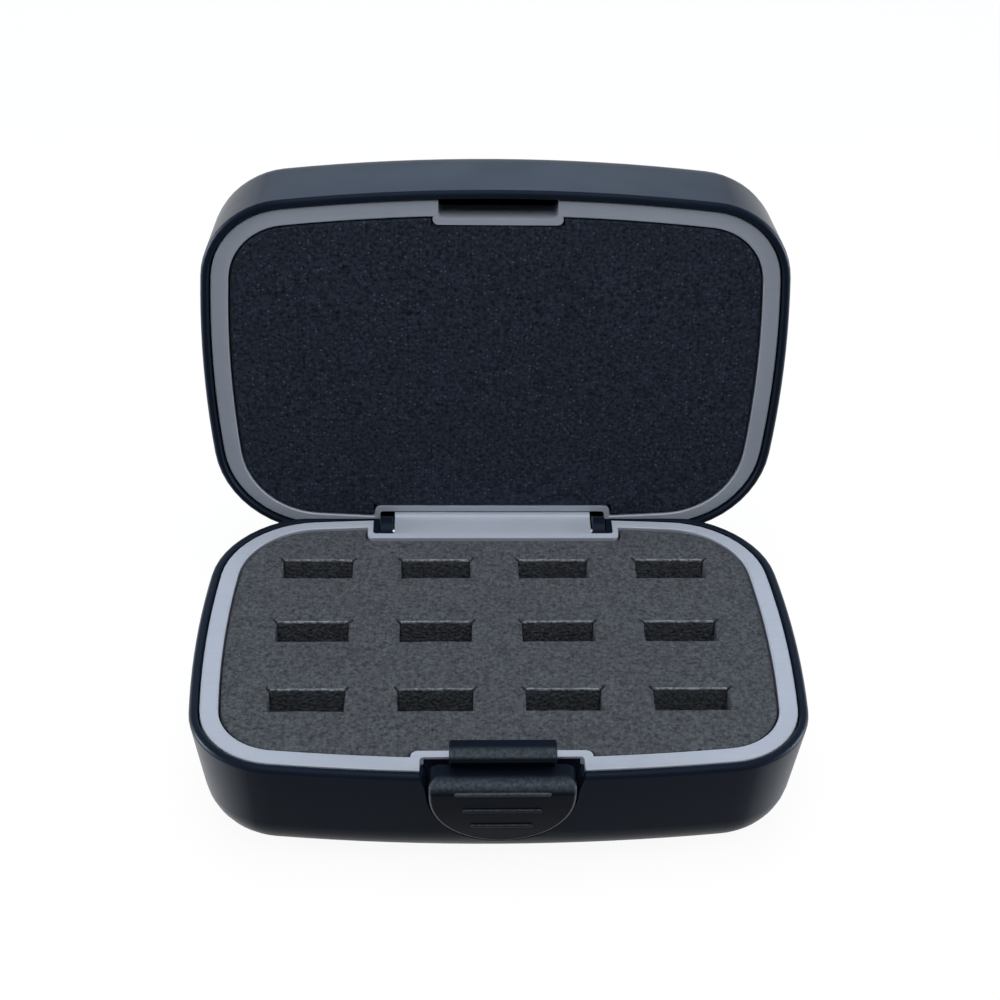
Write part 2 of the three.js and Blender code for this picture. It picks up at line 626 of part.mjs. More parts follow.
// The barrel round the pin, with a neck into the lid and a leaf up the lid's back wall.
// Its front is cut to a panel that curves out to the liner's strip.
function hingeBarrel() {
  const half = BARREL_LENGTH / 2;
  const wallFace = BACK + LID_OVERHANG - WALL - bowAt(half) - LID_DRAFT * LEAF_HEIGHT - FIT_GAP;
  const neckFront = BACK - LID_HINGE_NOTCH_DEPTH + FIT_GAP;
  const neckTop = RIM + LID_LINER_RECESS + LINER_THICKNESS;
  const neck = block(-half, half, neckFront, wallFace, HINGE_Z, neckTop);
  const leaf = block(-half, half, wallFace - LEAF_THICKNESS, wallFace, HINGE_Z, RIM + LEAF_HEIGHT);
  const barrel = rodAlongX(BARREL_RADIUS, BARREL_LENGTH, HINGE_Y, HINGE_Z);
  const panel = HINGE_Y - PANEL_RISE;
  const filletStart = RIM + LID_LINER_RECESS - FIT_GAP - PANEL_FILLET;
  const fillet = shares(EDGE_STEPS).map((share) => {
    const angle = (Math.PI / 2) * share;
    return at(neckFront + (panel - neckFront) * Math.cos(angle), filletStart + PANEL_FILLET * Math.sin(angle));
  });
  const beyond = RIM + FAR;
  const ahead = crosswise(
    [at(FRONT, 0), at(panel, 0), ...fillet, at(neckFront, beyond), at(FRONT, beyond)],
    half + FAR);
  const bore = rodAlongX(HINGE_PIN_RADIUS + PIN_CLEARANCE, BARREL_LENGTH + FAR, HINGE_Y, HINGE_Z);
  return barrel.add(neck).subtract(ahead).add(leaf).subtract(bore);
}

const hingePin = () => rodAlongX(HINGE_PIN_RADIUS, 2 * KNUCKLE_OUTER, HINGE_Y, HINGE_Z);
const latchPin = () => rodAlongX(LATCH_PIN_RADIUS, LATCH_PIN_LENGTH, LATCH_PIN_Y, LATCH_PIN_Z);

const batteryCase = new THREE.Group();
batteryCase.add(
  piece('base_shell', baseShell(), shellFinish()),
  piece('base_liner', baseLiner(), linerFinish()),
  piece('slotted_foam', slottedFoam(), foamFinish()),
  piece('foam_pad', foamPad(), foamFinish()),
  piece('hinge_pin', hingePin(), steelFinish()),
  piece('latch_button', latchButton(), shellFinish()),
  piece('latch_pin', latchPin(), steelFinish()),
  piece('latch_spring', latchSpring(), steelFinish()),
);

// The lid's pieces are drawn shut, and the group swings them open about the hinge pin
const lid = new THREE.Group();
lid.position.set(0, HINGE_Y, HINGE_Z);
lid.rotation.x = THREE.MathUtils.degToRad(-OPEN_ANGLE);
const lidPieces = [
  piece('lid_shell', lidShell(), shellFinish()),
  piece('lid_liner', lidLiner(), linerFinish()),
  piece('lid_foam', lidFoam(), lidFoamFinish()),
  piece('hinge_barrel', hingeBarrel(), linerFinish()),
];
for (const part of lidPieces) {
  part.position.set(0, -HINGE_Y, -HINGE_Z);
  lid.add(part);
}
batteryCase.add(lid);

export default batteryCase;
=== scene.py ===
"""Looks of a hinged battery case, built around its packed solids."""
import json
import math

import bmesh
import bpy
from bmesh.types import BMEdge, BMFace, BMVert
from bpy.props import FloatProperty, FloatVectorProperty, IntProperty, PointerProperty
from mathutils import Matrix, Vector, noise


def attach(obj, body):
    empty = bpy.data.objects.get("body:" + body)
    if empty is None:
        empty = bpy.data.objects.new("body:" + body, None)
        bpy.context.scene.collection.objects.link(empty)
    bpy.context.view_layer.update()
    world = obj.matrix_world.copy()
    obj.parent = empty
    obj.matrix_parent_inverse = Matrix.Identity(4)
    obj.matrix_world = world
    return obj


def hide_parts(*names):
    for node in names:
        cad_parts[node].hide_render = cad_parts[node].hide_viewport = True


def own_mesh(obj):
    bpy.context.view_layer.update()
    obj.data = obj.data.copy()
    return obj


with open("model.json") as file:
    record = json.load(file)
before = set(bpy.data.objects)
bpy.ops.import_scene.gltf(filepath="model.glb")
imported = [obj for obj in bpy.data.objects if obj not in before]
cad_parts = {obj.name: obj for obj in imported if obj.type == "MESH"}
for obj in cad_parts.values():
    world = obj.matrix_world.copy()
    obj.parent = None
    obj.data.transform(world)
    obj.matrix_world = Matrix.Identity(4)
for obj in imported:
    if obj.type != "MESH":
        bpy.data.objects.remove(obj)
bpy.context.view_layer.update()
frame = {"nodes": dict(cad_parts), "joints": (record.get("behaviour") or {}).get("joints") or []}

bl_info = {
    "name": "Battery case looks",
    "version": (1, 0, 0),
    "blender": (4, 5, 0),
    "location": "3D View > Sidebar > Battery case",
    "description": "Dresses the packed battery case with smooth pieces, finishes, light and a camera",
    "category": "Object",
}

MM = 0.001
JOINTS = {joint["name"]: joint for joint in frame["joints"]}
LID_HINGE = JOINTS["lid_hinge"]
LATCH_PRESS = JOINTS["latch_press"]
AXES = {"X": Vector((1, 0, 0)), "Y": Vector((0, 1, 0)), "Z": Vector((0, 0, 1))}

# Cosine from which an edge counts as lying along an axis
PARALLEL = 0.99

# Fineness of the curved faces, and the outline steps at which the button's front bends
SIDE_STEPS = 10
LONG_STEPS = 8
CORNER_STEPS = 12
EDGE_STEPS = 9
ROUND_STEPS = 5
THUMB_STEPS = 96
BARREL_STEPS = 48
SLOT_CUTS = 9
FACE_TURNS = (3, 7, 12, 24)

# Margins of cuts and joins, and the hook's room where it catches in the lid
MERGE_DISTANCE = 0.002 * MM
OVERLAP = 0.02 * MM
PAST = 3 * MM
CATCH_GAP = 0.2 * MM

# Edges that turn further than the first angle are rounded, and further than the second stay crisp
ROUNDED_FROM = math.radians(40)
CRISP_FROM = math.radians(32)

# Torn edges and knife cuts of the foam's slots, and how far a back edge faces the front to get its pale lip,
# partly torn fibre and partly painted highlight
WANDER_SCALE = 900
WANDER_SHIFT = Vector((0, 0, 7.3))
NICK_HALF = 0.12 * MM
NICK_TURN = math.radians(52)
LIP_HIGHLIGHT_FACING = -0.2

# Painted highlight on the button, most where its face leans back by the tilt and none past the spread, in
# degrees
HIGHLIGHT_TILT = 40
HIGHLIGHT_SPREAD = 32
RIB_HIGHLIGHT = 0.25
RIB_TOP_HIGHLIGHT = 0.3
RIB_TOP_GAIN = 1.3
RIB_END_HIGHLIGHT = 0.8
POLISH_GAIN = 1.5
SMOOTH_ACROSS = 0.94

# What counts as the button's outline and as its front, and how round its ribs are
OUTLINE_NEAR = 0.01
FRONT_FACING = -0.3
RIB_CORNER = 0.45
RIB_ROUND = 0.9

# Tints, and how much a plastic's roughness changes
WHITE = (1, 1, 1, 1)
COOL_GLOSS = (0.52, 0.73, 1, 1)
SKY_TINT = (0.9, 0.95, 1, 1)
BACK_TINT = (0.45, 0.68, 1)
ROUGH_CHANGE = 0.05

# Floor and camera, with the share of the floor's white that doesn't depend on the light
FLOOR_GLOW = 0.93
FLOOR_SIZE = 4
SENSOR_WIDTH = 36
NEAR_CLIP = 0.01


def length(label, words, millimetres):
    """A length that a user can change, written in millimetres."""
    return FloatProperty(name=label, description=words, default=millimetres * MM, unit="LENGTH", precision=5)


def position(label, words, metres):
    """A place that a user can change, in metres as the frame gives it."""
    return FloatProperty(name=label, description=words, default=metres, unit="LENGTH")


def turn(label, words, degrees):
    """An angle that a user can change, written in degrees."""
    return FloatProperty(name=label, description=words, default=math.radians(degrees), unit="ROTATION")


def factor(label, words, value):
    """A share from 0 to 1 that a user can change."""
    return FloatProperty(name=label, description=words, default=value, min=0, max=1, subtype="FACTOR")


def power(label, words, watts):
    """A lamp's power that a user can change."""
    return FloatProperty(name=label, description=words, default=watts, min=0, unit="POWER")


def count(label, words, value, least):
    """A count that a user can change."""
    return IntProperty(name=label, description=words, default=value, min=least)


def colour(label, words, value):
    """A colour that a user can change."""
    return FloatVectorProperty(name=label, description=words, default=(*value, 1), size=4, min=0, max=1,
                               subtype="COLOR")


class CaseSizes(bpy.types.PropertyGroup):
    """Sizes of the two shells."""
    width: length("Width", "Width of the case at the rim", 100)
    depth: length("Depth", "Depth of the case at the rim", 68)
    front_corner: length("Front corners", "Radius of the front corners seen from above", 14.8)
    back_corner: length("Back corners", "Radius of the back corners seen from above", 18.3)
    side_bulge: length("Side bulge", "How far the short sides bow out", 0.7)
    front_bulge: length("Front bulge", "How far the front bows out", 1.9)
    back_bulge: length("Back bulge", "How far the back bows out", 1)
    base_height: length("Base height", "Height of the base from its bottom to its rim", 22)
    lid_height: length("Lid height", "Height of the lid from its rim to its top", 22)
    overhang: length("Overhang", "How far the lid's rim stands out past the base's", 0.4)
    wall: length("Wall", "Thickness of the shell walls", 1.4)
    base_floor: length("Base floor", "Thickness of the base's bottom", 3.2)
    lid_panel: length("Lid panel", "Thickness of the lid's top", 2)
    edge_radius: length("Edge radius", "Radius of the rounded bottom and top edges", 8.7)
    rim_round: length("Rim rounding", "Radius of the rim's outer edge", 0.8)
    base_draft: factor("Base draft", "How far the base's walls lean in per length of height", 0.12)
    lid_draft: factor("Lid draft", "How far the lid's walls lean in per length of height", 0.045)
    fit_gap: length("Fit gap", "Gap between pieces that sit in each other", 0.3)


class LinerSizes(bpy.types.PropertyGroup):
    """Sizes of the grey liner frames."""
    width: length("Width", "Width of the liner's flat band", 2.95)
    back_reach: length("Back reach", "How much narrower the flat band is along the hinge side", 0.9)
    thickness: length("Thickness", "Thickness of the liner's flat band", 1.5)
    skirt: length("Skirt", "Thickness of the liner's inner skirt", 0.8)
    base_skirt_depth: length("Base skirt depth", "How far the base liner's skirt reaches down", 9)
    lid_skirt_depth: length("Lid skirt depth", "How far the lid liner's skirt reaches in", 5.5)
    base_recess: length("Base recess", "How far the base liner lies below the rim", 0.2)
    lid_recess: length("Lid recess", "How far the lid liner lies inside the rim", 0.6)
    base_strip: length("Base strip",
                       "Width of the base's thin strips in front of the hinge and behind the latch", 1.4)
    lid_strip: length("Lid strip", "Width of the lid's thin strips beside the hinge and the hook", 1.1)
    strip_end: length("Strip ends", "Thickness of the strips' turned ends", 0.9)
    sill_drop: length("Sill drop", "Thickness of the strip that caps the latch pocket's back wall", 0.4)
    edge: length("Edge", "Rounding of the liner's edges", 0.25)
    jog_round: length("Jog rounding", "Radius of the corners where the liner steps inwards", 1.2)


class FoamSizes(bpy.types.PropertyGroup):
    """Sizes of the foam pieces."""
    columns: count("Columns", "Slots in a row", 4, 1)
    rows: count("Rows", "Rows of slots", 3, 1)
    slot_width: length("Slot width", "Width of a slot", 12.2)
    slot_gap: length("Slot gap", "Opening of a slot from front to back", 4.9)
    column_pitch: length("Column pitch", "Distance between slots in a row", 20.6)
    row_pitch: length("Row pitch", "Distance between rows of slots", 16.9)
    backwards: length("Backwards", "How far the slots lie behind the middle", 1)
    sheet: length("Sheet", "Thickness of the slotted sheet", 10)
    sheet_recess: length("Sheet recess", "How far the sheet lies below the rim", 0.5)
    lid_recess: length("Lid foam recess", "How far the lid's foam lies inside the rim", 0.7)
    lid_thickness: length("Lid foam thickness", "Thickness of the lid's foam", 8)
    soft_edge: length("Soft edge", "Rounding of the foam's cut edges", 0.3)
    ragged: length("Ragged cut", "How far the cut edges stray from a straight line", 0.14)
    nick: length("Corner nick", "Length of the knife cuts at the slots' back corners", 0.9)


class HingeSizes(bpy.types.PropertyGroup):
    """Sizes of the hinge."""
    y: position("Axis depth", "Place of the hinge axis from front to back", LID_HINGE["pos_m"][1])
    z: position("Axis height", "Height of the hinge axis", LID_HINGE["pos_m"][2])
    open_angle: turn("Open angle", "How far the lid stands open", LID_HINGE["range_deg"][1])
    drop: length("Drop", "How far the axis lies below the rim", 2.6)
    swing_gap: length("Swing gap", "What the base's back edge leaves free for the lid's rim", 0.15)
    pin_radius: length("Pin radius", "Radius of the hinge pin", 0.7)
    pin_gap: length("Pin gap", "Gap round the hinge pin", 0.08)
    barrel_radius: length("Barrel radius", "Radius of the grey hinge barrel", 3.3)
    barrel_length: length("Barrel length", "Length of the grey hinge barrel", 35.6)
    panel_rise: length("Panel rise", "How far the barrel's flat panel lies from the axis", 1.35)
    panel_fillet: length("Panel fillet", "Size of the curve from the panel up to the lid's strip", 2.1)
    knuckle_radius: length("Knuckle radius", "Radius of the black knuckles", 2.9)
    knuckle_width: length("Knuckle width", "Width of each black knuckle", 2.2)
    shelf: length("Shelf", "Thickness of the shelf under the hinge", 2)
    ledge_drop: length("Ledge drop", "How far the ledges beside the knuckles lie below the rim", 0.4)
    base_notch: length("Base notch", "How far the notch reaches in from the base's back", 6.2)
    lid_notch: length("Lid notch", "How far the notch reaches in from the lid's back", 5)
    base_margin: length("Base notch margin", "Room beside the knuckles in the base's notch", 1.3)
    lid_margin: length("Lid notch margin", "Room beside the knuckles in the lid's notch", 0.2)
    leaf: length("Leaf", "Thickness of the leaf on the lid's back wall", 1.3)
    leaf_height: length("Leaf height", "How far the leaf reaches up the lid's back wall", 7.5)


class LatchSizes(bpy.types.PropertyGroup):
    """Sizes of the latch."""
    width: length("Button width", "Width of the thumb button", 22.6)
    straight: length("Button straight", "Height of the button's straight sides", 3.2)
    round_height: length("Button round", "Height of the button's round lower end", 12.2)
    drop: length("Button drop", "How far the button's top lies below the rim", 0.2)
    bulge: length("Button bulge", "How far the button stands out of the wall at its top", 1.4)
    crown: length("Button crown", "Radius of the button's rounded top edge", 2.6)
    corner: length("Button corners", "Radius of the button's top corners", 1.6)
    pad_back: length("Pad back", "Inset of the pad's top back edge", 3.2)
    back: length("Button back", "Inset of the button's back face", 2.8)
    pocket_depth: length("Pocket depth", "Depth of the pocket behind the button", 4.8)
    pocket_gap: length("Pocket gap", "Gap round the button", 0.5)
    pocket_wall: length("Pocket wall", "Thickness of the pocket's wall", 1.4)
    pocket_flare: length("Pocket flare", "How much wider the pocket is on each side at the rim", 0.9)
    hook_width: length("Hook width", "Width of the hook bar", 16.4)
    hook_front: length("Hook front", "Inset of the hook's nose", 0.7)
    hook_back: length("Hook back", "Inset of the hook's back", 3.8)
    hook_height: length("Hook height", "Height of the hook above the rim", 4.6)
    barb_height: length("Barb height", "Height of the hook's catching face above the rim", 2.3)
    barb_depth: length("Barb depth", "How far the nose stands out of the arm", 1.9)
    barb_face: length("Barb face", "Size of the nose's slanted face", 1.2)
    arm_root: length("Arm root", "How far the hook's arm reaches down behind the pad", 1.8)
    pin_y: position("Pin depth", "Place of the latch pin from front to back", LATCH_PRESS["pos_m"][1])
    pin_z: position("Pin height", "Height of the latch pin", LATCH_PRESS["pos_m"][2])
    pivot_radius: length("Pivot radius", "Radius of the button's pivot eye", 1.25)
    pivot_length: length("Pivot length", "Length of the button's pivot eye", 11.4)
    pin_radius: length("Pin radius", "Radius of the latch pin", 0.75)
    ribs: count("Ribs", "Grip ribs on the button", 3, 0)
    rib_pitch: length("Rib pitch", "Distance between the ribs", 4.2)
    rib_drop: length("Rib drop", "How far the first rib lies below the rim", 2.4)
    rib_length: length("Rib length", "Length of the first rib", 14.8)
    rib_taper: length("Rib taper", "How much shorter each next rib is", 2.5)
    rib_size: length("Rib size", "Height of a rib on the button's face", 0.8)
    rib_rise: length("Rib rise", "How far a rib stands out", 0.3)
    lid_notch: length("Lid notch", "How far the notch for the hook reaches into the lid", 4.75)
    lid_margin: length("Lid notch margin", "Room beside the hook in the lid's notch", 1.7)
    edge: length("Edge", "Rounding of the button's edges", 0.4)


class FinishColours(bpy.types.PropertyGroup):
    """Colours of the finishes."""
    shell: colour("Shell", "Blue-black moulded plastic", (0.0058, 0.0092, 0.0175))
    latch: colour("Latch", "Black moulded plastic of the button", (0.005, 0.0075, 0.0135))
    # Pale tone painted on the button's crown, chamfer and rib tops as a painted highlight
    painted_highlight: colour("Rubbed", "Satin of the button's rubbed edges", (0.085, 0.102, 0.122))
    liner: colour("Liner", "Light grey moulded plastic", (0.345, 0.386, 0.463))
    foam: colour("Foam", "Grey foam of the slotted sheet", (0.066, 0.0735, 0.085))
    lid_foam: colour("Lid foam", "Black foam of the lid", (0.0258, 0.0325, 0.049))
    steel: colour("Steel", "Plain steel of the pins and the spring", (0.46, 0.47, 0.48))
    floor: colour("Floor", "Pale floor", (0.2, 0.2, 0.2))


class StageSettings(bpy.types.PropertyGroup):
    """Camera and light."""
    focal: FloatProperty(name="Focal length", description="Lens of the camera", default=63.76, unit="CAMERA")
    distance: length("Distance", "From the camera to the point it looks at", 282.58)
    elevation: turn("Elevation", "Height of the camera's view above the horizon", 35.96)
    azimuth: turn("Azimuth", "How far the camera stands to the right", -2.36)
    roll: turn("Roll", "Tilt of the picture", 1.41)
    aim_y: length("Aim depth", "Depth of the point that the camera looks at", 2.3)
    aim_z: length("Aim height", "Height of the point that the camera looks at", 47.74)
    top_light: power("Top light", "Power of the soft box above", 3.6)
    back_light: power("Back light", "Power of the soft box behind the lid", 1.0)
    side_light: power("Side lights", "Power of each small soft box at the sides", 2.0)
    surround: FloatProperty(name="Surround", description="Strength of the even light all round", default=0.09,
                            min=0)


def all_sizes(context):
    """The sizes of the shells, liners, foams, hinge and latch."""
    scene = context.scene
    return scene.case_sizes, scene.case_liner, scene.case_foam, scene.case_hinge, scene.case_latch


# Outlines and skins

def quarter_turns(steps):
    """Angles from nought to a quarter turn."""
    return [math.pi / 2 * step / steps for step in range(steps + 1)]


def step_shares(steps):
    """Shares of a run at each of its steps, without its end."""
    return [step / steps for step in range(steps)]


def right_half(case):
    """Stations of the outline from the front's middle to the back's.

    Each is the middle of a circle, the way that the outline faces there, and the circle's radius.
    """
    quarter = math.pi / 2
    corner_x = case.width / 2 - case.side_bulge
    front_x, back_x = corner_x - case.front_corner, corner_x - case.back_corner
    front_y = case.front_bulge + case.front_corner - case.depth / 2
    back_y = case.depth / 2 - case.back_bulge - case.back_corner
    side_half = (back_y - front_y) / 2
    side_lean = math.atan2(2 * case.side_bulge, side_half)
    front_lean = math.atan2(2 * case.front_bulge, front_x)
    back_lean = math.atan2(2 * case.back_bulge, back_x)
    for t in step_shares(LONG_STEPS):
        facing = math.atan2(2 * case.front_bulge * t, front_x) - quarter
        yield front_x * t, front_y - case.front_bulge * (1 - t * t), facing, case.front_corner
    for t in step_shares(CORNER_STEPS):
        yield front_x, front_y, (front_lean - quarter) * (1 - t) - side_lean * t, case.front_corner
    for t in step_shares(SIDE_STEPS):
        bow = 2 * t - 1
        radius = case.front_corner + (case.back_corner - case.front_corner) * t
        facing = math.atan2(2 * case.side_bulge * bow, side_half)
        x = case.width / 2 - radius - case.side_bulge * bow * bow
        yield x, front_y + 2 * side_half * t, facing, radius
    for t in step_shares(CORNER_STEPS):
        yield back_x, back_y, side_lean * (1 - t) + (quarter - back_lean) * t, case.back_corner
    for t in (*(1 - share for share in step_shares(LONG_STEPS)), 0.0):
        facing = quarter - math.atan2(2 * case.back_bulge * t, back_x)
        yield back_x * t, back_y + case.back_bulge * (1 - t * t), facing, case.back_corner


def outline_stations(case):
    """Stations once round the case, the left half mirrored from the right."""
    right = list(right_half(case))
    left = [(-x, y, math.pi - facing, radius) for x, y, facing, radius in reversed(right[1:-1])]
    return right + left


def outline_place(case, station, inset, reach):
    """A place on the outline, moved inwards by inset; reach moves the back edge further back."""
    x, y, facing, radius = station
    depth = y + (radius - inset) * math.sin(facing)
    depth += reach * max(depth, 0) / (case.depth / 2 - inset)
    return x + (radius - inset) * math.cos(facing), depth


def of_kind(kind, geometry):
    """The vertices, edges or faces among an operator's results."""
    return [part for part in geometry if isinstance(part, kind)]


def loft(case, levels, closed=False):
    """A solid skin or a closed ring through case outlines, each level a height, an inset and a reach."""
    bm = bmesh.new()
    stations = outline_stations(case)
    step_of = bm.verts.layers.int.new("outline_step")
    verts = bmesh.ops.create_circle(bm, segments=len(stations), radius=case.width)["verts"]
    for step, vert in enumerate(verts):
        vert[step_of] = step
    first = ring = list(dict.fromkeys(edge for vert in verts for edge in vert.link_edges))
    for number, (height, inset, reach) in enumerate(levels):
        if number:
            made = bmesh.ops.extrude_edge_only(bm, edges=ring)["geom"]
            verts, ring = of_kind(BMVert, made), of_kind(BMEdge, made)
        for vert in verts:
            vert.co = (*outline_place(case, stations[vert[step_of]], inset, reach), height)
    if closed:
        bmesh.ops.bridge_loops(bm, edges=first + ring)
    else:
        bmesh.ops.contextual_create(bm, geom=first)
        bmesh.ops.contextual_create(bm, geom=ring)
    bmesh.ops.recalc_face_normals(bm, faces=bm.faces)
    return bm


def block(low, high, upright=0.0, axis="Z"):
    """A box between two corners, with its edges along one axis rounded."""
    bm = bmesh.new()
    low, high = Vector(low), Vector(high)
    place = Matrix.Translation((low + high) / 2) @ Matrix.Diagonal((*(high - low), 1))
    bmesh.ops.create_cube(bm, size=1, matrix=place)
    if upright:
        along = [edge for edge in bm.edges
                 if abs((edge.verts[0].co - edge.verts[1].co).normalized().dot(AXES[axis])) > PARALLEL]
        bmesh.ops.bevel(bm, geom=along, offset=upright, offset_type="OFFSET", affect="EDGES",
                        segments=ROUND_STEPS, profile=0.5, material=-1, clamp_overlap=True)
    return bm


def slab(half, near, far, low, high, upright=0.0, axis="Z"):
    """A box across the case's middle, of half a width, between two depths and two heights."""
    return block((-half, near, low), (half, far, high), upright, axis)


def rod(radius, reach, y, z):
    """A round bar along the case's width."""
    bm = bmesh.new()
    place = Matrix.Translation((0, y, z)) @ Matrix.Rotation(math.pi / 2, 4, "Y")
    bmesh.ops.create_cone(bm, cap_ends=True, segments=BARREL_STEPS, radius1=radius, radius2=radius,
                          depth=reach, matrix=place)
    return bm


def drawn_out(bm, faces, way):
    """The faces drawn out into a solid."""
    made = bmesh.ops.extrude_face_region(bm, geom=faces)["geom"]
    bmesh.ops.translate(bm, verts=of_kind(BMVert, made), vec=way)
    bmesh.ops.recalc_face_normals(bm, faces=bm.faces)
    return bm


def swept(points, half):
    """A side view, given as depths and heights, drawn out along the case's width."""
    bm = bmesh.new()
    verts = [bm.verts.new((-half, y, z)) for y, z in points]
    outline = [bm.edges.new((vert, verts[number - 1])) for number, vert in enumerate(verts)]
    faces = of_kind(BMFace, bmesh.ops.edgeloop_fill(bm, edges=outline)["faces"])
    return drawn_out(bm, faces, (2 * half, 0, 0))


def thumb(case, latch, grow, top, near, far, flare=0.0, corner=0.0):
    """The button's front view, grown by a margin and flared to the rim, drawn out along the depth."""
    bm = bmesh.new()
    half = latch.width / 2 + grow
    straight = latch.drop + latch.straight
    centre = case.base_height - straight
    verts = bmesh.ops.create_circle(bm, segments=THUMB_STEPS, radius=1, cap_ends=True)["verts"]
    for vert in verts:
        across, up = vert.co.x, vert.co.y
        wide = half
        if up > 0:
            square = max(abs(across), up)
            across, up = across / square, up / square * (top - centre)
            wide += flare * up / straight
        else:
            up *= latch.round_height + grow
        past = Vector((abs(wide * across) - half + corner, centre + up - top + corner))
        if corner and min(past) > 0:
            past = past.normalized() * corner
            across = math.copysign(half - corner + past.x, across) / wide
            up = top - corner + past.y - centre
        vert.co = (wide * across, near, centre + up)
    return drawn_out(bm, bm.faces[:], (0, far - near, 0))


# Joining, cutting and finishing

def linked(name, data):
    """A new object in the scene."""
    made = bpy.data.objects.new(name, data)
    bpy.context.scene.collection.objects.link(made)
    return made


def mesh_object(name, bm):
    """A new object in the scene with the shape's mesh; the shape itself is let go."""
    mesh = bpy.data.meshes.new(name)
    bm.to_mesh(mesh)
    bm.free()
    return linked(name, mesh)


def combined(body, *steps):
    """The body after each step, a pair of what is done and the shape that it is done with."""
    carved = mesh_object("scratch", body)
    tools = []
    for operation, shape in steps:
        tool = mesh_object("scratch", shape)
        modifier = carved.modifiers.new(operation.title(), "BOOLEAN")
        modifier.operation = operation
        modifier.solver = "EXACT"
        modifier.object = tool
        tools.append(tool)
    bpy.context.view_layer.update()
    result = bmesh.new()
    result.from_object(carved, bpy.context.evaluated_depsgraph_get())
    for used in [carved, *tools]:
        mesh = used.data
        bpy.data.objects.remove(used)
        bpy.data.meshes.remove(mesh)
    bmesh.ops.remove_doubles(result, verts=result.verts, dist=MERGE_DISTANCE)
    bmesh.ops.dissolve_degenerate(result, edges=result.edges, dist=MERGE_DISTANCE)
    if not result.faces:
        raise RuntimeError("A piece came out empty after it was cut")
    return result


def joined(*shapes):
    """Several shapes that don't touch, as one."""
    bm = bmesh.new()
    for shape in shapes:
        mesh = bpy.data.meshes.new("scratch")
        shape.to_mesh(mesh)
        shape.free()
        bm.from_mesh(mesh)
        bpy.data.meshes.remove(mesh)
    return bm


def soften(bm, size, segments=2, slide=True, keep=lambda edge: True):
    """Rounds the sharp edges and gives the faces made; without slide it is equally wide everywhere."""
    sharp = [edge for edge in bm.edges
             if len(edge.link_faces) == 2 and edge.calc_face_angle() > ROUNDED_FROM and keep(edge)]
    made = bmesh.ops.bevel(bm, geom=sharp, offset=size, offset_type="OFFSET", affect="EDGES",
                           segments=segments, profile=0.5, material=-1, clamp_overlap=False, loop_slide=slide)
    return made["faces"]


def swung_open(bm, hinge):
    """The lid's pieces are drawn shut and turned open about the hinge."""
    turned = Matrix.Rotation(-hinge.open_angle, 3, "X")
    bmesh.ops.rotate(bm, cent=(0, hinge.y, hinge.z), matrix=turned, verts=bm.verts)


def place_piece(name, bm, finish, body, node):
    """Makes the piece's object, gives it its finish, and lets it stand for its solid."""
    made = mesh_object(name, bm)
    mesh = made.data
    mesh.materials.append(finish_named(finish))
    mesh.polygons.foreach_set("use_smooth", [True] * len(mesh.polygons))
    mesh.set_sharp_from_angle(angle=CRISP_FROM)
    weighted = made.modifiers.new("Weighted normals", "WEIGHTED_NORMAL")
    weighted.keep_sharp = True
    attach(made, body)
    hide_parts(node)
    return made


# Nodes

def fill(tree, node, **values):
    """The node with some settings and sockets filled in or linked; a key such as i0 numbers its socket."""
    for key, value in values.items():
        if hasattr(node, key):
            setattr(node, key, value)
            continue
        socket = node.inputs[int(key[1:])] if key[1:].isdigit() else node.inputs[key.replace("_", " ")]
        if isinstance(value, bpy.types.NodeSocket):
            tree.links.new(value, socket)
        else:
            socket.default_value = value
    return node


def add(tree, kind, **values):
    """A new node, filled in."""
    return fill(tree, tree.nodes.new(kind), **values)


def maths(tree, operation, a, b=0.0, clamp=False):
    """What an operation makes of two values."""
    return add(tree, "ShaderNodeMath", operation=operation, use_clamp=clamp, i0=a, i1=b).outputs[0]


def mixed(tree, amount, a, b):
    """A colour between two others."""
    return add(tree, "ShaderNodeMix", data_type="RGBA", i0=amount, i6=a, i7=b).outputs[2]


def spread(tree, value, low, high, to_low=0.0, to_high=1.0):
    """A value moved from one range to another and held inside it."""
    node = add(tree, "ShaderNodeMapRange", clamp=True, i0=value, i1=low, i2=high, i3=to_low, i4=to_high)
    return node.outputs[0]


def noisy(tree, vector, scale, detail, rough):
    """Noise of so many spots to a metre."""
    node = add(tree, "ShaderNodeTexNoise", Vector=vector, Scale=scale, Detail=detail, Roughness=rough)
    return node.outputs[0]


def streaky(tree, vector, along, scale, detail, rough):
    """Noise that is drawn out along the case's width."""
    stretched = add(tree, "ShaderNodeMapping", Vector=vector, Scale=(along, 1, 1)).outputs[0]
    return noisy(tree, stretched, scale, detail, rough)


def bumps(tree, height, depth):
    """The normal of a surface that is as deep as this between its heights 0 and 1."""
    return add(tree, "ShaderNodeBump", Strength=1.0, Distance=depth, Height=height).outputs[0]


def marked(tree, name):
    """A mask that the piece's mesh carries."""
    return add(tree, "ShaderNodeAttribute", attribute_name=name).outputs["Fac"]


def emptied(owner):
    """The node tree of a material or a world, without nodes."""
    owner.use_nodes = True
    owner.node_tree.nodes.clear()
    return owner.node_tree


def new_group(name, scales, outputs):
    """A shader group that takes places and scales and gives values, with its input and output nodes."""
    group = bpy.data.node_groups.new(name, "ShaderNodeTree")
    group.interface.new_socket("Vector", in_out="INPUT", socket_type="NodeSocketVector")
    for label, value in scales.items():
        socket = group.interface.new_socket(label, in_out="INPUT", socket_type="NodeSocketFloat")
        socket.default_value = value
    for label in outputs:
        group.interface.new_socket(label, in_out="OUTPUT", socket_type="NodeSocketFloat")
    return group, group.nodes.new("NodeGroupInput").outputs, group.nodes.new("NodeGroupOutput")


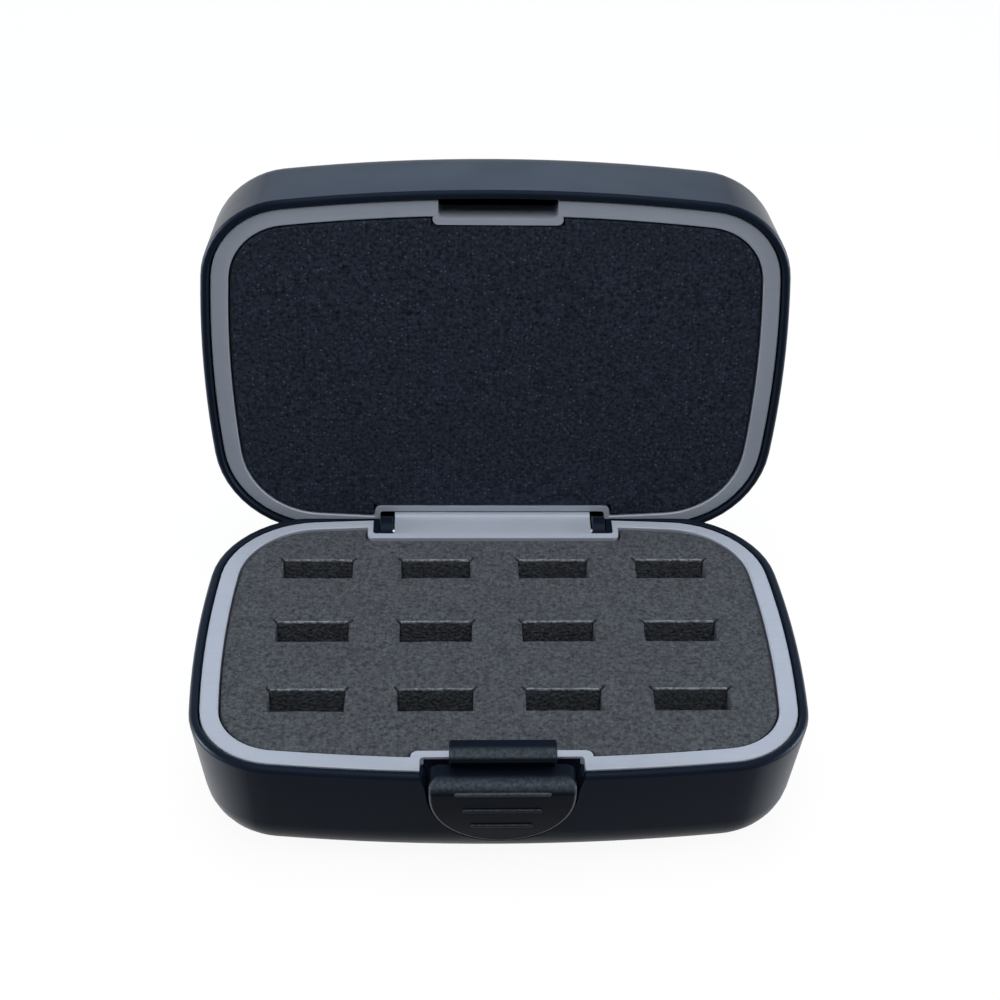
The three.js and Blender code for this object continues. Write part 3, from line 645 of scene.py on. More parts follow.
def moulded_grain(name):
    """Fine grain of moulded plastic, with slow cloudiness over it."""
    scales = {"Grain scale": 3200.0, "Cloud scale": 60.0}
    group, given, result = new_group(name, scales, ("Height", "Cloud", "Speck"))
    grain = noisy(group, given["Vector"], given["Grain scale"], detail=3.0, rough=0.6)
    cloud = noisy(group, given["Vector"], given["Cloud scale"], detail=4.0, rough=0.55)
    fill(group, result, Height=grain, Cloud=spread(group, cloud, 0.3, 0.7),
         Speck=spread(group, grain, 0.5, 0.72))
    return group


def foam_cells(name):
    """Open cells of foam: pits between bright cell walls, with a coarser unevenness."""
    scales = {"Cell scale": 2600.0, "Patch scale": 180.0}
    group, given, result = new_group(name, scales, ("Height", "Wall", "Patch", "Glint"))
    vector, scale = given["Vector"], given["Cell scale"]
    cell = add(group, "ShaderNodeTexVoronoi", feature="F1", Vector=vector, Scale=scale).outputs
    fine = noisy(group, vector, scale, detail=3.0, rough=0.65)
    patch = noisy(group, vector, given["Patch scale"], detail=3.0, rough=0.5)
    wall = spread(group, cell["Distance"], 0.15, 0.75)
    height = maths(group, "ADD", maths(group, "MULTIPLY", wall, 0.6), maths(group, "MULTIPLY", fine, 0.6))
    pores = spread(group, fine, 0.34, 0.7, to_high=0.75)
    grain = maths(group, "ADD", maths(group, "MULTIPLY", wall, 0.25), pores)
    chance = add(group, "ShaderNodeSeparateColor", i0=cell["Color"]).outputs[0]
    middle = spread(group, cell["Distance"], 0.12, 0.42, to_low=1.0, to_high=0.0)
    glint = maths(group, "MULTIPLY", spread(group, chance, 0.55, 1.0), middle)
    fill(group, result, Height=height, Wall=grain, Patch=spread(group, patch, 0.3, 0.7), Glint=glint)
    return group


def use_group(tree, maker, name, place, **values):
    """The sockets that a shader group gives; the group is made when it is first needed."""
    group = bpy.data.node_groups.get(name) or maker(name)
    return add(tree, "ShaderNodeGroup", node_tree=group, Vector=place, **values).outputs


# Finishes

def new_finish(name):
    """A material with a lone shader, its output and the piece's own coordinates."""
    material = bpy.data.materials.new(name)
    tree = emptied(material)
    shader = tree.nodes.new("ShaderNodeBsdfPrincipled")
    add(tree, "ShaderNodeOutputMaterial", Surface=shader.outputs[0])
    place = tree.nodes.new("ShaderNodeTexCoord").outputs["Object"]
    return material, tree, shader, place


def scaled(base, share):
    """A darker or paler tone of a colour."""
    return tuple(channel * share for channel in base[:3]) + (1,)


def flanks(tree):
    """Mask of what faces left or right, where hands polish the case."""
    facing = add(tree, "ShaderNodeSeparateXYZ", Vector=add(tree, "ShaderNodeTexCoord").outputs["Normal"])
    return spread(tree, maths(tree, "ABSOLUTE", facing.outputs[0]), 0.3, 0.9)


def polished_edge(tree):
    """Mask of the button's polished edge."""
    return marked(tree, "polish")


def plastic_finish(name, base, grain, depth, rough, gloss, polish, painted_highlight=None):
    """Moulded plastic: fine grain, cloudy gloss, paler specks, polish by a mask and a paler tone as painted
    highlight.
    """
    material, tree, shader, place = new_finish(name)
    group = use_group(tree, moulded_grain, "Moulded grain", place, Grain_scale=grain)
    dark, pale, speck = (scaled(base, share) for share in (0.88, 1.12, 1.35))
    tone = mixed(tree, group["Speck"], mixed(tree, group["Cloud"], dark, pale), speck)
    # Paler tone painted where the mask is set: a painted highlight on the button's crown, chamfer and ribs
    if painted_highlight:
        uneven = noisy(tree, place, scale=1900.0, detail=2.0, rough=0.6)
        amount = maths(tree, "MULTIPLY", marked(tree, "worn"), spread(tree, uneven, 0.35, 0.65, to_low=0.45))
        tone = mixed(tree, amount, tone, painted_highlight)
    fill(tree, shader, Base_Color=tone, Specular_Tint=COOL_GLOSS, Normal=bumps(tree, group["Height"], depth),
         Roughness=spread(tree, group["Cloud"], 0, 1, rough - ROUGH_CHANGE, rough + ROUGH_CHANGE),
         Specular_IOR_Level=spread(tree, polish(tree), 0, 1, *gloss))
    return material


def liner_finish(name, base):
    """Satin grey plastic with faint drawn streaks."""
    material, tree, shader, place = new_finish(name)
    group = use_group(tree, moulded_grain, "Moulded grain", place, Grain_scale=4200.0, Cloud_scale=90.0)
    streak = streaky(tree, place, along=0.04, scale=1500.0, detail=3.0, rough=0.6)
    dark, pale, drawn = (scaled(base, share) for share in (0.96, 1.04, 0.86))
    tone = mixed(tree, group["Cloud"], dark, pale)
    tone = mixed(tree, spread(tree, streak, 0.5, 0.75, to_high=0.35), tone, drawn)
    fill(tree, shader, Base_Color=tone, Roughness=spread(tree, group["Cloud"], 0, 1, 0.38, 0.48),
         Specular_IOR_Level=0.4, Normal=bumps(tree, group["Height"], 0.006 * MM))
    return material


def foam_finish(name, base, cell, depth, glint, contrast):
    """Foam with open cells: pits, cell walls, small glints and pale lips, partly torn fibre and partly
    painted highlight.
    """
    material, tree, shader, place = new_finish(name)
    group = use_group(tree, foam_cells, "Foam cells", place, Cell_scale=cell)
    pit, wall, bright = (scaled(base, share) for share in (1 - contrast, 1 + contrast, glint))
    patch, pale_lip_highlight = scaled(base, 0.7), scaled(base, 3.2)
    tone = mixed(tree, group["Wall"], pit, wall)
    tone = mixed(tree, spread(tree, group["Patch"], 0, 1, to_high=0.18), tone, patch)
    tone = mixed(tree, group["Glint"], tone, bright)
    torn = spread(tree, noisy(tree, place, scale=1700.0, detail=2.0, rough=0.6), 0.36, 0.62, to_low=0.15)
    # Pale tone painted on the slots' front-facing back edges: partly torn fibre, partly painted highlight
    tone = mixed(tree, maths(tree, "MULTIPLY", marked(tree, "lip"), torn), tone, pale_lip_highlight)
    fill(tree, shader, Base_Color=tone, Roughness=0.92, Specular_IOR_Level=0.02,
         Normal=bumps(tree, group["Height"], depth))
    return material


def steel_finish(name, base):
    """Drawn steel with fine lines along its length."""
    material, tree, shader, place = new_finish(name)
    line = streaky(tree, place, along=0.05, scale=6000.0, detail=2.0, rough=0.5)
    dark, pale = scaled(base, 0.85), scaled(base, 1.1)
    fill(tree, shader, Base_Color=mixed(tree, line, dark, pale), Metallic=1.0,
         Roughness=spread(tree, line, 0.3, 0.7, 0.25, 0.4), Normal=bumps(tree, line, 0.004 * MM))
    return material


def finish_named(name):
    """The finish of that name, made when it is first needed."""
    tones = bpy.context.scene.case_colours
    makers = {
        "Black plastic": lambda: plastic_finish(name, tones.shell, grain=3000.0, depth=0.008 * MM, rough=0.36,
                                                gloss=(0.045, 0.32), polish=flanks),
        "Latch plastic": lambda: plastic_finish(name, tones.latch, grain=2200.0, depth=0.02 * MM, rough=0.32,
                                                gloss=(0.03, 0.9), polish=polished_edge, painted_highlight=tones.painted_highlight),
        "Liner plastic": lambda: liner_finish(name, tones.liner),
        "Slotted foam": lambda: foam_finish(name, tones.foam, cell=1650.0, depth=0.2 * MM, glint=1.8,
                                            contrast=0.65),
        "Lid foam": lambda: foam_finish(name, tones.lid_foam, cell=1500.0, depth=0.12 * MM, glint=3.4,
                                        contrast=0.8),
        "Steel": lambda: steel_finish(name, tones.steel),
    }
    return bpy.data.materials.get(name) or makers[name]()


# Measures and shapes that several pieces share

def front_and_back(case):
    """Depths of the case's front and back."""
    return -case.depth / 2, case.depth / 2


def notch_half(hinge, case, margin):
    """Half the width of a notch round the hinge."""
    return hinge.barrel_length / 2 + case.fit_gap + hinge.knuckle_width + margin


def pocket_half(latch):
    """Half the width of the latch pocket at the rim."""
    return latch.width / 2 + latch.pocket_gap + latch.pocket_flare


def hook_half(latch):
    """Half the width of the lid's notch for the hook."""
    return latch.hook_width / 2 + latch.lid_margin


def foam_inset(case, liner):
    """Inset of the foams' outline."""
    return case.wall + liner.width + 2 * case.fit_gap


def shell_profile(case, height, draft, floor, overhang=0.0):
    """Depths from the rim and insets: up the outside, over the rim and down the inside."""
    start = height - case.edge_radius

    def curve(turned, radius, wall):
        depth = start + radius * math.sin(turned)
        return depth, wall + draft * depth + radius * (1 - math.cos(turned))

    quarter = quarter_turns(EDGE_STEPS)
    outside = [curve(turned, case.edge_radius, 0) for turned in reversed(quarter)]
    lip = case.rim_round
    rim = [(lip * (1 - math.sin(turned)), lip * (1 - math.cos(turned)))
           for turned in quarter_turns(ROUND_STEPS)]
    rim += [(0, case.wall - lip / 3), (lip / 3, case.wall)]
    inside = [curve(turned, case.edge_radius - floor, case.wall) for turned in quarter]
    return [(depth, inset - overhang) for depth, inset in outside + rim + inside]


def frame_profile(case, liner, top, low, skirt_low, overhang=0.0):
    """The liner's section, once round: heights, insets and reaches, with its top edges rounded."""
    outer = case.wall + case.fit_gap - overhang
    inner = outer + liner.width
    edge, reach = liner.edge, liner.back_reach
    way = 1 if top > low else -1
    rounds = quarter_turns(ROUND_STEPS)
    outside = [(top - way * edge * (1 - math.sin(turned)), outer + edge * (1 - math.cos(turned)), 0)
               for turned in rounds]
    inside = [(top - way * edge * (1 - math.cos(turned)), inner - edge * (1 - math.sin(turned)), reach)
              for turned in rounds]
    thin = inner - liner.skirt
    skirt = [(skirt_low, inner, reach), (skirt_low, thin, reach), (low, thin, reach)]
    return [(low, outer, 0), *outside, *inside, *skirt]


def hinge_clearance(case, hinge):
    """What the base's back edge gives way to as the lid's rim swings over it."""
    corner = slab(case.width / 2, hinge.y, case.depth / 2 + PAST, hinge.z, case.base_height + PAST)
    swing = rod(hinge.drop - hinge.swing_gap, case.width + PAST, hinge.y, hinge.z)
    return combined(corner, ("DIFFERENCE", swing))


def pocket_sill(case, latch, liner):
    """The top of the pocket's back wall, which the base liner's strip caps."""
    near = latch.pocket_depth - case.depth / 2
    top = case.base_height - liner.base_recess
    return slab(pocket_half(latch), near, near + liner.base_strip, top - liner.thickness - OVERLAP,
                top - liner.sill_drop)


# Pieces of the base

def knuckles(case, hinge, low):
    """The two black hinge eyes on their shelf."""
    parts = []
    inner = hinge.barrel_length / 2 + case.fit_gap
    half = hinge.knuckle_width / 2
    for side in (-1, 1):
        middle = side * (inner + half)
        eye = rod(hinge.knuckle_radius, hinge.knuckle_width, hinge.y, hinge.z)
        bmesh.ops.translate(eye, verts=eye.verts, vec=(middle, 0, 0))
        web = block((middle - half, hinge.y - hinge.knuckle_radius, low),
                    (middle + half, hinge.y + case.wall, hinge.z))
        parts.append(combined(eye, ("UNION", web)))
    return joined(*parts)


class CASE_OT_base_shell(bpy.types.Operator):
    """Moulds the black base with its latch pocket and its hinge knuckles."""
    bl_idname = "battery_case.base_shell"
    bl_label = "Base shell"

    def execute(self, context):
        case, liner, _, hinge, latch = all_sizes(context)
        rim = case.base_height
        front, back = front_and_back(case)
        profile = shell_profile(case, rim, case.base_draft, case.base_floor)
        tub = loft(case, [(rim - depth, inset, 0) for depth, inset in profile])
        outside = profile[:EDGE_STEPS + ROUND_STEPS + 2]
        core = [(rim - depth, inset + case.wall / 2, 0) for depth, inset in outside]
        boss_top = rim - liner.base_recess - liner.thickness
        pocket_back, flare = front + latch.pocket_depth, latch.pocket_flare
        boss = thumb(case, latch, latch.pocket_gap + latch.pocket_wall, boss_top, front,
                     pocket_back + latch.pocket_wall, flare)
        pocket = thumb(case, latch, latch.pocket_gap, rim + PAST, front - PAST, pocket_back, flare)
        half = notch_half(hinge, case, hinge.base_margin)
        notch_floor = hinge.z - hinge.barrel_radius - case.fit_gap
        notch_front = back - hinge.base_notch
        shelf_low = notch_floor - hinge.shelf
        shelf = slab(half, notch_front, back, shelf_low, rim - hinge.ledge_drop)
        gap = notch_half(hinge, case, hinge.lid_margin)
        notch = slab(gap, notch_front, back + PAST, notch_floor, rim + PAST)
        bore = rod(hinge.pin_radius + hinge.pin_gap, 2 * half, hinge.y, hinge.z)
        shell = combined(
            tub, ("UNION", combined(boss, ("INTERSECT", loft(case, core)))),
            ("UNION", combined(shelf, ("INTERSECT", loft(case, core)))),
            ("UNION", pocket_sill(case, latch, liner)), ("DIFFERENCE", pocket), ("DIFFERENCE", notch),
            ("DIFFERENCE", hinge_clearance(case, hinge)), ("UNION", knuckles(case, hinge, shelf_low)),
            ("DIFFERENCE", bore))
        place_piece("case_base", shell, "Black plastic", "base", "base_shell")
        return {"FINISHED"}


class CASE_OT_base_liner(bpy.types.Operator):
    """Moulds the light grey frame of the base, stepped inwards round the hinge and the latch."""
    bl_idname = "battery_case.base_liner"
    bl_label = "Base liner"

    def execute(self, context):
        case, liner, _, hinge, latch = all_sizes(context)
        rim, strip, jog = case.base_height, liner.base_strip, liner.jog_round
        front, back = front_and_back(case)
        top = rim - liner.base_recess
        low = top - liner.thickness
        skirt_low = rim - liner.base_skirt_depth
        inner = case.wall + case.fit_gap + liner.width
        half = notch_half(hinge, case, hinge.base_margin)
        latch_half = pocket_half(latch)
        boss_half = latch_half + latch.pocket_wall + case.fit_gap
        hinge_edge, latch_edge = back - hinge.base_notch, front + latch.pocket_depth
        band_back = back - inner + liner.back_reach + liner.skirt / 2
        ring = loft(case, frame_profile(case, liner, top, low, skirt_low), closed=True)
        hinge_strip = slab(half + liner.strip_end, hinge_edge - strip, band_back, skirt_low, top, jog)
        latch_strip = slab(latch_half + strip, front + inner - liner.skirt, latch_edge + strip, low, top, jog)
        latch_gap = slab(boss_half, front, latch_edge + liner.width, 0, low)
        hinge_notch = slab(half, hinge_edge, back + PAST, 0, rim + PAST, jog / 2)
        latch_notch = slab(latch_half, front - PAST, latch_edge, 0, rim + PAST, jog / 2)
        made = combined(ring, ("DIFFERENCE", latch_gap), ("UNION", hinge_strip), ("UNION", latch_strip),
                        ("DIFFERENCE", hinge_notch), ("DIFFERENCE", latch_notch),
                        ("DIFFERENCE", pocket_sill(case, latch, liner)),
                        ("DIFFERENCE", hinge_clearance(case, hinge)))
        place_piece("trim_base", made, "Liner plastic", "base", "base_liner")
        return {"FINISHED"}


def slot_middles(foam):
    """Middle of each slot, row by row."""
    for row in range(foam.rows):
        for column in range(foam.columns):
            x = (column - (foam.columns - 1) / 2) * foam.column_pitch
            y = foam.backwards + (row - (foam.rows - 1) / 2) * foam.row_pitch
            yield Vector((x, y, 0))


def stray(place, size):
    """A small steady wander to the side and along, the same in each run."""
    near = place * WANDER_SCALE
    return Vector((noise.noise(near), noise.noise(near + WANDER_SHIFT), 0)) * size


def slot_cut(foam, middle, low, high):
    """One hand-cut slot with wandering edges."""
    half = Vector((foam.slot_width / 2, foam.slot_gap / 2, 0))
    bm = block(middle - half + Vector((0, 0, low)), middle + half + Vector((0, 0, high)))
    level = [edge for edge in bm.edges if abs(edge.verts[0].co.z - edge.verts[1].co.z) < MERGE_DISTANCE]
    bmesh.ops.subdivide_edges(bm, edges=level, cuts=SLOT_CUTS, use_grid_fill=True)
    for vert in bm.verts:
        vert.co += stray(Vector((vert.co.x, vert.co.y, 0)), foam.ragged)
    bmesh.ops.recalc_face_normals(bm, faces=bm.faces)
    return bm


def nick_cut(foam, middle, side, low, high):
    """A knife cut that runs out of a slot's back corner."""
    bm = block((-foam.nick / 3, -NICK_HALF, low), (foam.nick, NICK_HALF, high))
    lean = Matrix.Rotation(NICK_TURN if side > 0 else math.pi - NICK_TURN, 3, "Z")
    bmesh.ops.rotate(bm, cent=(0, 0, 0), matrix=lean, verts=bm.verts)
    corner = middle + Vector((side * foam.slot_width / 2, foam.slot_gap / 2, 0))
    bmesh.ops.translate(bm, verts=bm.verts, vec=corner)
    return bm


def base_foam_gaps(case, liner, hinge, latch):
    """What the base's foams leave free for the liner's strips."""
    front, back = front_and_back(case)
    gap, high = case.fit_gap, case.base_height + PAST
    half = notch_half(hinge, case, hinge.base_margin) + liner.strip_end + gap
    latch_half = pocket_half(latch) + latch.pocket_wall + gap
    hinge_edge = back - hinge.base_notch - liner.base_strip - gap
    latch_edge = front + latch.pocket_depth + liner.base_strip + gap
    return joined(slab(half, hinge_edge, back, -PAST, high, liner.jog_round),
                  slab(latch_half, front, latch_edge, -PAST, high, liner.jog_round))


def mark_lip_highlights(bm, foam, faces):
    """Marks the edge along the back of each slot, which faces the front: its pale tone is partly torn fibre
    and partly painted highlight.
    """
    lip = bm.faces.layers.float["lip"]
    middles = list(slot_middles(foam))
    for face in faces:
        place = face.calc_center_median()
        for middle in middles:
            across, along = abs(place.x - middle.x), abs(place.y - middle.y - foam.slot_gap / 2)
            if face.normal.y < LIP_HIGHLIGHT_FACING and across < foam.slot_width / 2 and along < 2 * foam.soft_edge:
                face[lip] = 1


class CASE_OT_slotted_foam(bpy.types.Operator):
    """Cuts the grey foam sheet with its slots."""
    bl_idname = "battery_case.slotted_foam"
    bl_label = "Slotted foam"

    def execute(self, context):
        case, liner, foam, hinge, latch = all_sizes(context)
        top = case.base_height - foam.sheet_recess
        low = top - foam.sheet
        sheet = loft(case, [(height, foam_inset(case, liner), liner.back_reach) for height in (low, top)])
        slots = joined(*[slot_cut(foam, middle, low - PAST, top + PAST) for middle in slot_middles(foam)])
        nicks = joined(*[nick_cut(foam, middle, side, top - foam.sheet / 3, top + PAST)
                         for middle in slot_middles(foam) for side in (-1, 1)])
        made = combined(sheet, ("DIFFERENCE", base_foam_gaps(case, liner, hinge, latch)),
                        ("DIFFERENCE", slots), ("DIFFERENCE", nicks))
        made.faces.layers.float.new("lip")
        rounded = soften(made, foam.soft_edge, slide=False,
                         keep=lambda edge: all(vert.co.z > top - MERGE_DISTANCE for vert in edge.verts))
        made.normal_update()
        mark_lip_highlights(made, foam, rounded)
        piece = place_piece("slotted_sheet", made, "Slotted foam", "base", "slotted_foam")
        return {"FINISHED"}


class CASE_OT_foam_pad(bpy.types.Operator):
    """Cuts the foam pad that closes the slots from below."""
    bl_idname = "battery_case.foam_pad"
    bl_label = "Foam pad"

    def execute(self, context):
        case, liner, foam, hinge, latch = all_sizes(context)
        rim, inset = case.base_height, foam_inset(case, liner)
        inside = shell_profile(case, rim, case.base_draft, case.base_floor)[-EDGE_STEPS - 1:]
        levels = [(rim - foam.sheet_recess - foam.sheet, inset, 0)]
        levels += [(rim - depth, max(inset, wall + case.fit_gap), 0) for depth, wall in inside]
        made = combined(loft(case, levels), ("DIFFERENCE", base_foam_gaps(case, liner, hinge, latch)))
        piece = place_piece("foam_block", made, "Slotted foam", "base", "foam_pad")
        return {"FINISHED"}


# The latch

def button_foot(latch):
    """Height of the button's lower end from the rim."""
    return -latch.drop - latch.straight - latch.round_height


def button_face(case, latch, rise):
    """Inset of the button's front at a height from the rim."""
    share = (rise + latch.drop) / (button_foot(latch) + latch.drop)
    return -case.base_draft * rise - latch.bulge * (1 - share * share)


def latch_side(case, points):
    """Depths and heights of places given as insets and heights from the rim."""
    return [(-case.depth / 2 + inset, case.base_height + rise) for inset, rise in points]


def button_pad(case, latch):
    """The thumb pad: a bulged front with a rounded top edge, cut to the button's outline."""
    crown = -latch.drop - latch.crown
    shoulder = -latch.drop - latch.straight
    front = [(button_face(case, latch, crown) + latch.crown * (1 - math.sin(turned)),
              crown + latch.crown * math.cos(turned)) for turned in quarter_turns(CORNER_STEPS)]
    for step in FACE_TURNS:
        rise = shoulder - latch.round_height * math.sin(math.tau * step / THUMB_STEPS)
        front.append((button_face(case, latch, rise), rise))
    side = [(latch.pad_back, -latch.drop), *front, (latch.back, button_foot(latch)),
            (latch.back, shoulder - case.fit_gap), (latch.pad_back, shoulder)]
    start = -case.depth / 2
    top = case.base_height - latch.drop + OVERLAP
    outline_solid = thumb(case, latch, 0, top, start - PAST, start + latch.pocket_depth, corner=latch.corner)
    return combined(swept(latch_side(case, side), latch.width), ("INTERSECT", outline_solid))


def highlight_share(face, case, latch):
    """How much painted highlight a face of the button gets: most where it faces the front from above, and on
    the ribs.
    """
    place = face.calc_center_median()
    tilt = math.degrees(math.atan2(face.normal.z, -face.normal.y))
    share = max(0, 1 - abs(tilt - HIGHLIGHT_TILT) / HIGHLIGHT_SPREAD) * (1 - face.normal.x ** 2)
    rise = place.z - case.base_height
    proud = button_face(case, latch, rise) - case.depth / 2 - place.y
    if proud > OVERLAP and rise < latch.rib_size - latch.rib_drop:
        top_rib = rise > -latch.rib_drop - latch.rib_size
        above = RIB_TOP_GAIN * face.normal.z + RIB_TOP_HIGHLIGHT
        share = 1 if top_rib else max(share, RIB_HIGHLIGHT, above, RIB_END_HIGHLIGHT * abs(face.normal.x))
    return min(share, 1)


def mark_highlight_and_polish(bm, edge_faces, case, latch):
    """Marks the painted highlight on the faces and the polished edge, evened out where the surface is smooth.
    """
    worn, polish = (bm.loops.layers.float[name] for name in ("worn", "polish"))
    bm.normal_update()
    shares = {face: highlight_share(face, case, latch) for face in bm.faces}
    for face in edge_faces:
        for loop in face.loops:
            loop[polish] = min(1, POLISH_GAIN * abs(face.normal.x))
    for face in bm.faces:
        for loop in face.loops:
            near = [shares[other] for other in loop.vert.link_faces
                    if other.normal.dot(face.normal) > SMOOTH_ACROSS]
            loop[worn] = sum(near) / len(near)


def round_front_edge(bm, case, latch):
    """Rounds the edge between the button's front and its sides, and gives its faces."""
    centre = case.base_height - latch.drop - latch.straight

    def on_outline(vert):
        below = min(vert.co.z - centre, 0) / latch.round_height
        return abs(math.hypot(vert.co.x / latch.width * 2, below) - 1) < OUTLINE_NEAR

    return soften(bm, latch.edge, segments=3,
                  keep=lambda edge: all(on_outline(vert) for vert in edge.verts)
                  and min(face.normal.y for face in edge.link_faces) < FRONT_FACING)


def hook_bar(case, latch):
    """The bar above the pad, with its slanted nose and bevelled ends."""
    nose, arm, root = latch.hook_front, latch.hook_front + latch.barb_depth, -latch.arm_root
    side = [(latch.hook_back, latch.hook_height), (nose + latch.barb_face, latch.hook_height),
            (nose, latch.barb_height + latch.barb_face), (nose, latch.barb_height), (arm, latch.barb_height),
            (arm, root), (latch.hook_back, root)]
    half = latch.hook_width / 2
    bar = swept(latch_side(case, side), half)
    soften(bar, latch.edge, segments=3,
           keep=lambda edge: all(abs(vert.co.x) > half - OVERLAP for vert in edge.verts))
    soften(bar, latch.edge / 2, segments=3,
           keep=lambda edge: abs(edge.verts[0].co.x - edge.verts[1].co.x) > half)
    return bar


def grip_ribs(case, latch):
    """Low bars across the pad, each shorter than the one above it."""
    bars = []
    for number in range(latch.ribs):
        rise = -latch.rib_drop - number * latch.rib_pitch
        half = (latch.rib_length - number * latch.rib_taper) / 2
        inset = button_face(case, latch, rise)
        face = -case.depth / 2 + inset
        height = case.base_height + rise
        bar = slab(half, face - latch.rib_rise, face + latch.bulge, height - latch.rib_size / 2,
                   height + latch.rib_size / 2, latch.rib_size * RIB_CORNER, "Y")
        soften(bar, latch.rib_rise * RIB_ROUND, segments=4,
               keep=lambda edge: all(vert.co.y < face for vert in edge.verts))
        for vert in bar.verts:
            vert.co.y += button_face(case, latch, vert.co.z - case.base_height) - inset
        bars.append(bar)
    return joined(*bars)


class CASE_OT_latch_button(bpy.types.Operator):
    """Moulds the thumb button with its grip ribs, its hook bar and its pivot eye."""
    bl_idname = "battery_case.latch_button"
    bl_label = "Latch button"

    def execute(self, context):
        case, _, _, hinge, latch = all_sizes(context)
        eye = rod(latch.pivot_radius, latch.pivot_length, latch.pin_y, latch.pin_z)
        bore = rod(latch.pin_radius + hinge.pin_gap, latch.width, latch.pin_y, latch.pin_z)
        pad = combined(button_pad(case, latch), ("UNION", eye), ("DIFFERENCE", bore))
        ribbed = combined(pad, ("UNION", grip_ribs(case, latch)))
        made = combined(ribbed, ("UNION", hook_bar(case, latch)))
        # Masks for the painted highlight and for the polished edge
        for name in ("worn", "polish"):
            made.loops.layers.float.new(name)
        mark_highlight_and_polish(made, round_front_edge(made, case, latch), case, latch)
        place_piece("thumb_button", made, "Latch plastic", "latch", "latch_button")
        return {"FINISHED"}


# Pieces of the lid

class CASE_OT_lid_shell(bpy.types.Operator):
    """Moulds the black lid with the recess that the hook catches in."""
    bl_idname = "battery_case.lid_shell"
    bl_label = "Lid shell"

    def execute(self, context):
        case, _, _, hinge, latch = all_sizes(context)
        rim = case.base_height
        front, back = front_and_back(case)
        profile = shell_profile(case, case.lid_height, case.lid_draft, case.lid_panel, case.overhang)
        cup = loft(case, [(rim + depth, inset, 0) for depth, inset in profile])
        recess = slab(latch.hook_width / 2 + latch.pocket_gap,
                      front + latch.hook_front - CATCH_GAP, front + case.wall + case.fit_gap,
                      rim + latch.barb_height - CATCH_GAP, rim + latch.hook_height + latch.pocket_gap)
        notch = slab(notch_half(hinge, case, hinge.lid_margin), hinge.y - hinge.barrel_radius, back + PAST,
                     rim - PAST, hinge.z + hinge.barrel_radius + case.fit_gap)
        made = combined(cup, ("DIFFERENCE", recess), ("DIFFERENCE", notch))
        swung_open(made, hinge)
        place_piece("case_lid", made, "Black plastic", "lid", "lid_shell")
        return {"FINISHED"}


class CASE_OT_lid_liner(bpy.types.Operator):
    """Moulds the light grey frame of the lid."""
    bl_idname = "battery_case.lid_liner"
    bl_label = "Lid liner"

    def execute(self, context):
        case, liner, _, hinge, latch = all_sizes(context)
        rim, strip, end, jog = case.base_height, liner.lid_strip, liner.strip_end, liner.jog_round
        front, back = front_and_back(case)
        face = rim + liner.lid_recess
        deep = face + liner.thickness
        skirt_end = face + liner.lid_skirt_depth
        inner = case.wall + case.fit_gap + liner.width
        half, notch = notch_half(hinge, case, hinge.lid_margin), hook_half(latch)
        hinge_edge, hook_edge = back - hinge.lid_notch, front + latch.lid_notch
        band_back = back + case.overhang - inner + liner.back_reach + liner.skirt / 2
        ring = loft(case, frame_profile(case, liner, face, deep, skirt_end, case.overhang), closed=True)
        hinge_strip = slab(half + end, hinge_edge - strip, band_back, face, skirt_end, jog)
        hook_strip = slab(notch + end, front + inner - liner.skirt, hook_edge + strip, face, skirt_end, jog)
        hinge_notch = slab(half, hinge_edge, back + PAST, rim - PAST, skirt_end + PAST, jog / 2)
        hook_notch = slab(notch, front - PAST, hook_edge, rim - PAST, skirt_end + PAST, jog / 2)
        made = combined(ring, ("UNION", hinge_strip), ("UNION", hook_strip), ("DIFFERENCE", hinge_notch),
                        ("DIFFERENCE", hook_notch))
        swung_open(made, hinge)
        place_piece("trim_lid", made, "Liner plastic", "lid", "lid_liner")
        return {"FINISHED"}


class CASE_OT_lid_foam(bpy.types.Operator):
    """Cuts the black foam that lines the lid."""
    bl_idname = "battery_case.lid_foam"
    bl_label = "Lid foam"

    def execute(self, context):
        case, liner, foam, hinge, latch = all_sizes(context)
        gap, soft, reach = case.fit_gap, foam.soft_edge, liner.back_reach
        front, back = front_and_back(case)
        face = case.base_height + foam.lid_recess
        deep = face + foam.lid_thickness
        inset = foam_inset(case, liner) - case.overhang
        sheet = loft(case, [(face, inset + soft, reach), (face + soft, inset, reach), (deep, inset, reach)])
        half = notch_half(hinge, case, hinge.lid_margin) + liner.strip_end + gap
        notch = hook_half(latch) + liner.strip_end + gap
        hinge_edge = back - hinge.lid_notch - liner.lid_strip - gap
        hook_edge = latch.lid_notch + liner.lid_strip + gap + front
        made = combined(sheet, ("DIFFERENCE", slab(half, hinge_edge, back, face - PAST, deep + PAST)),
                        ("DIFFERENCE", slab(notch, front, hook_edge, face - PAST, deep + PAST)))
        swung_open(made, hinge)
        piece = place_piece("lid_padding", made, "Lid foam", "lid", "lid_foam")
        return {"FINISHED"}


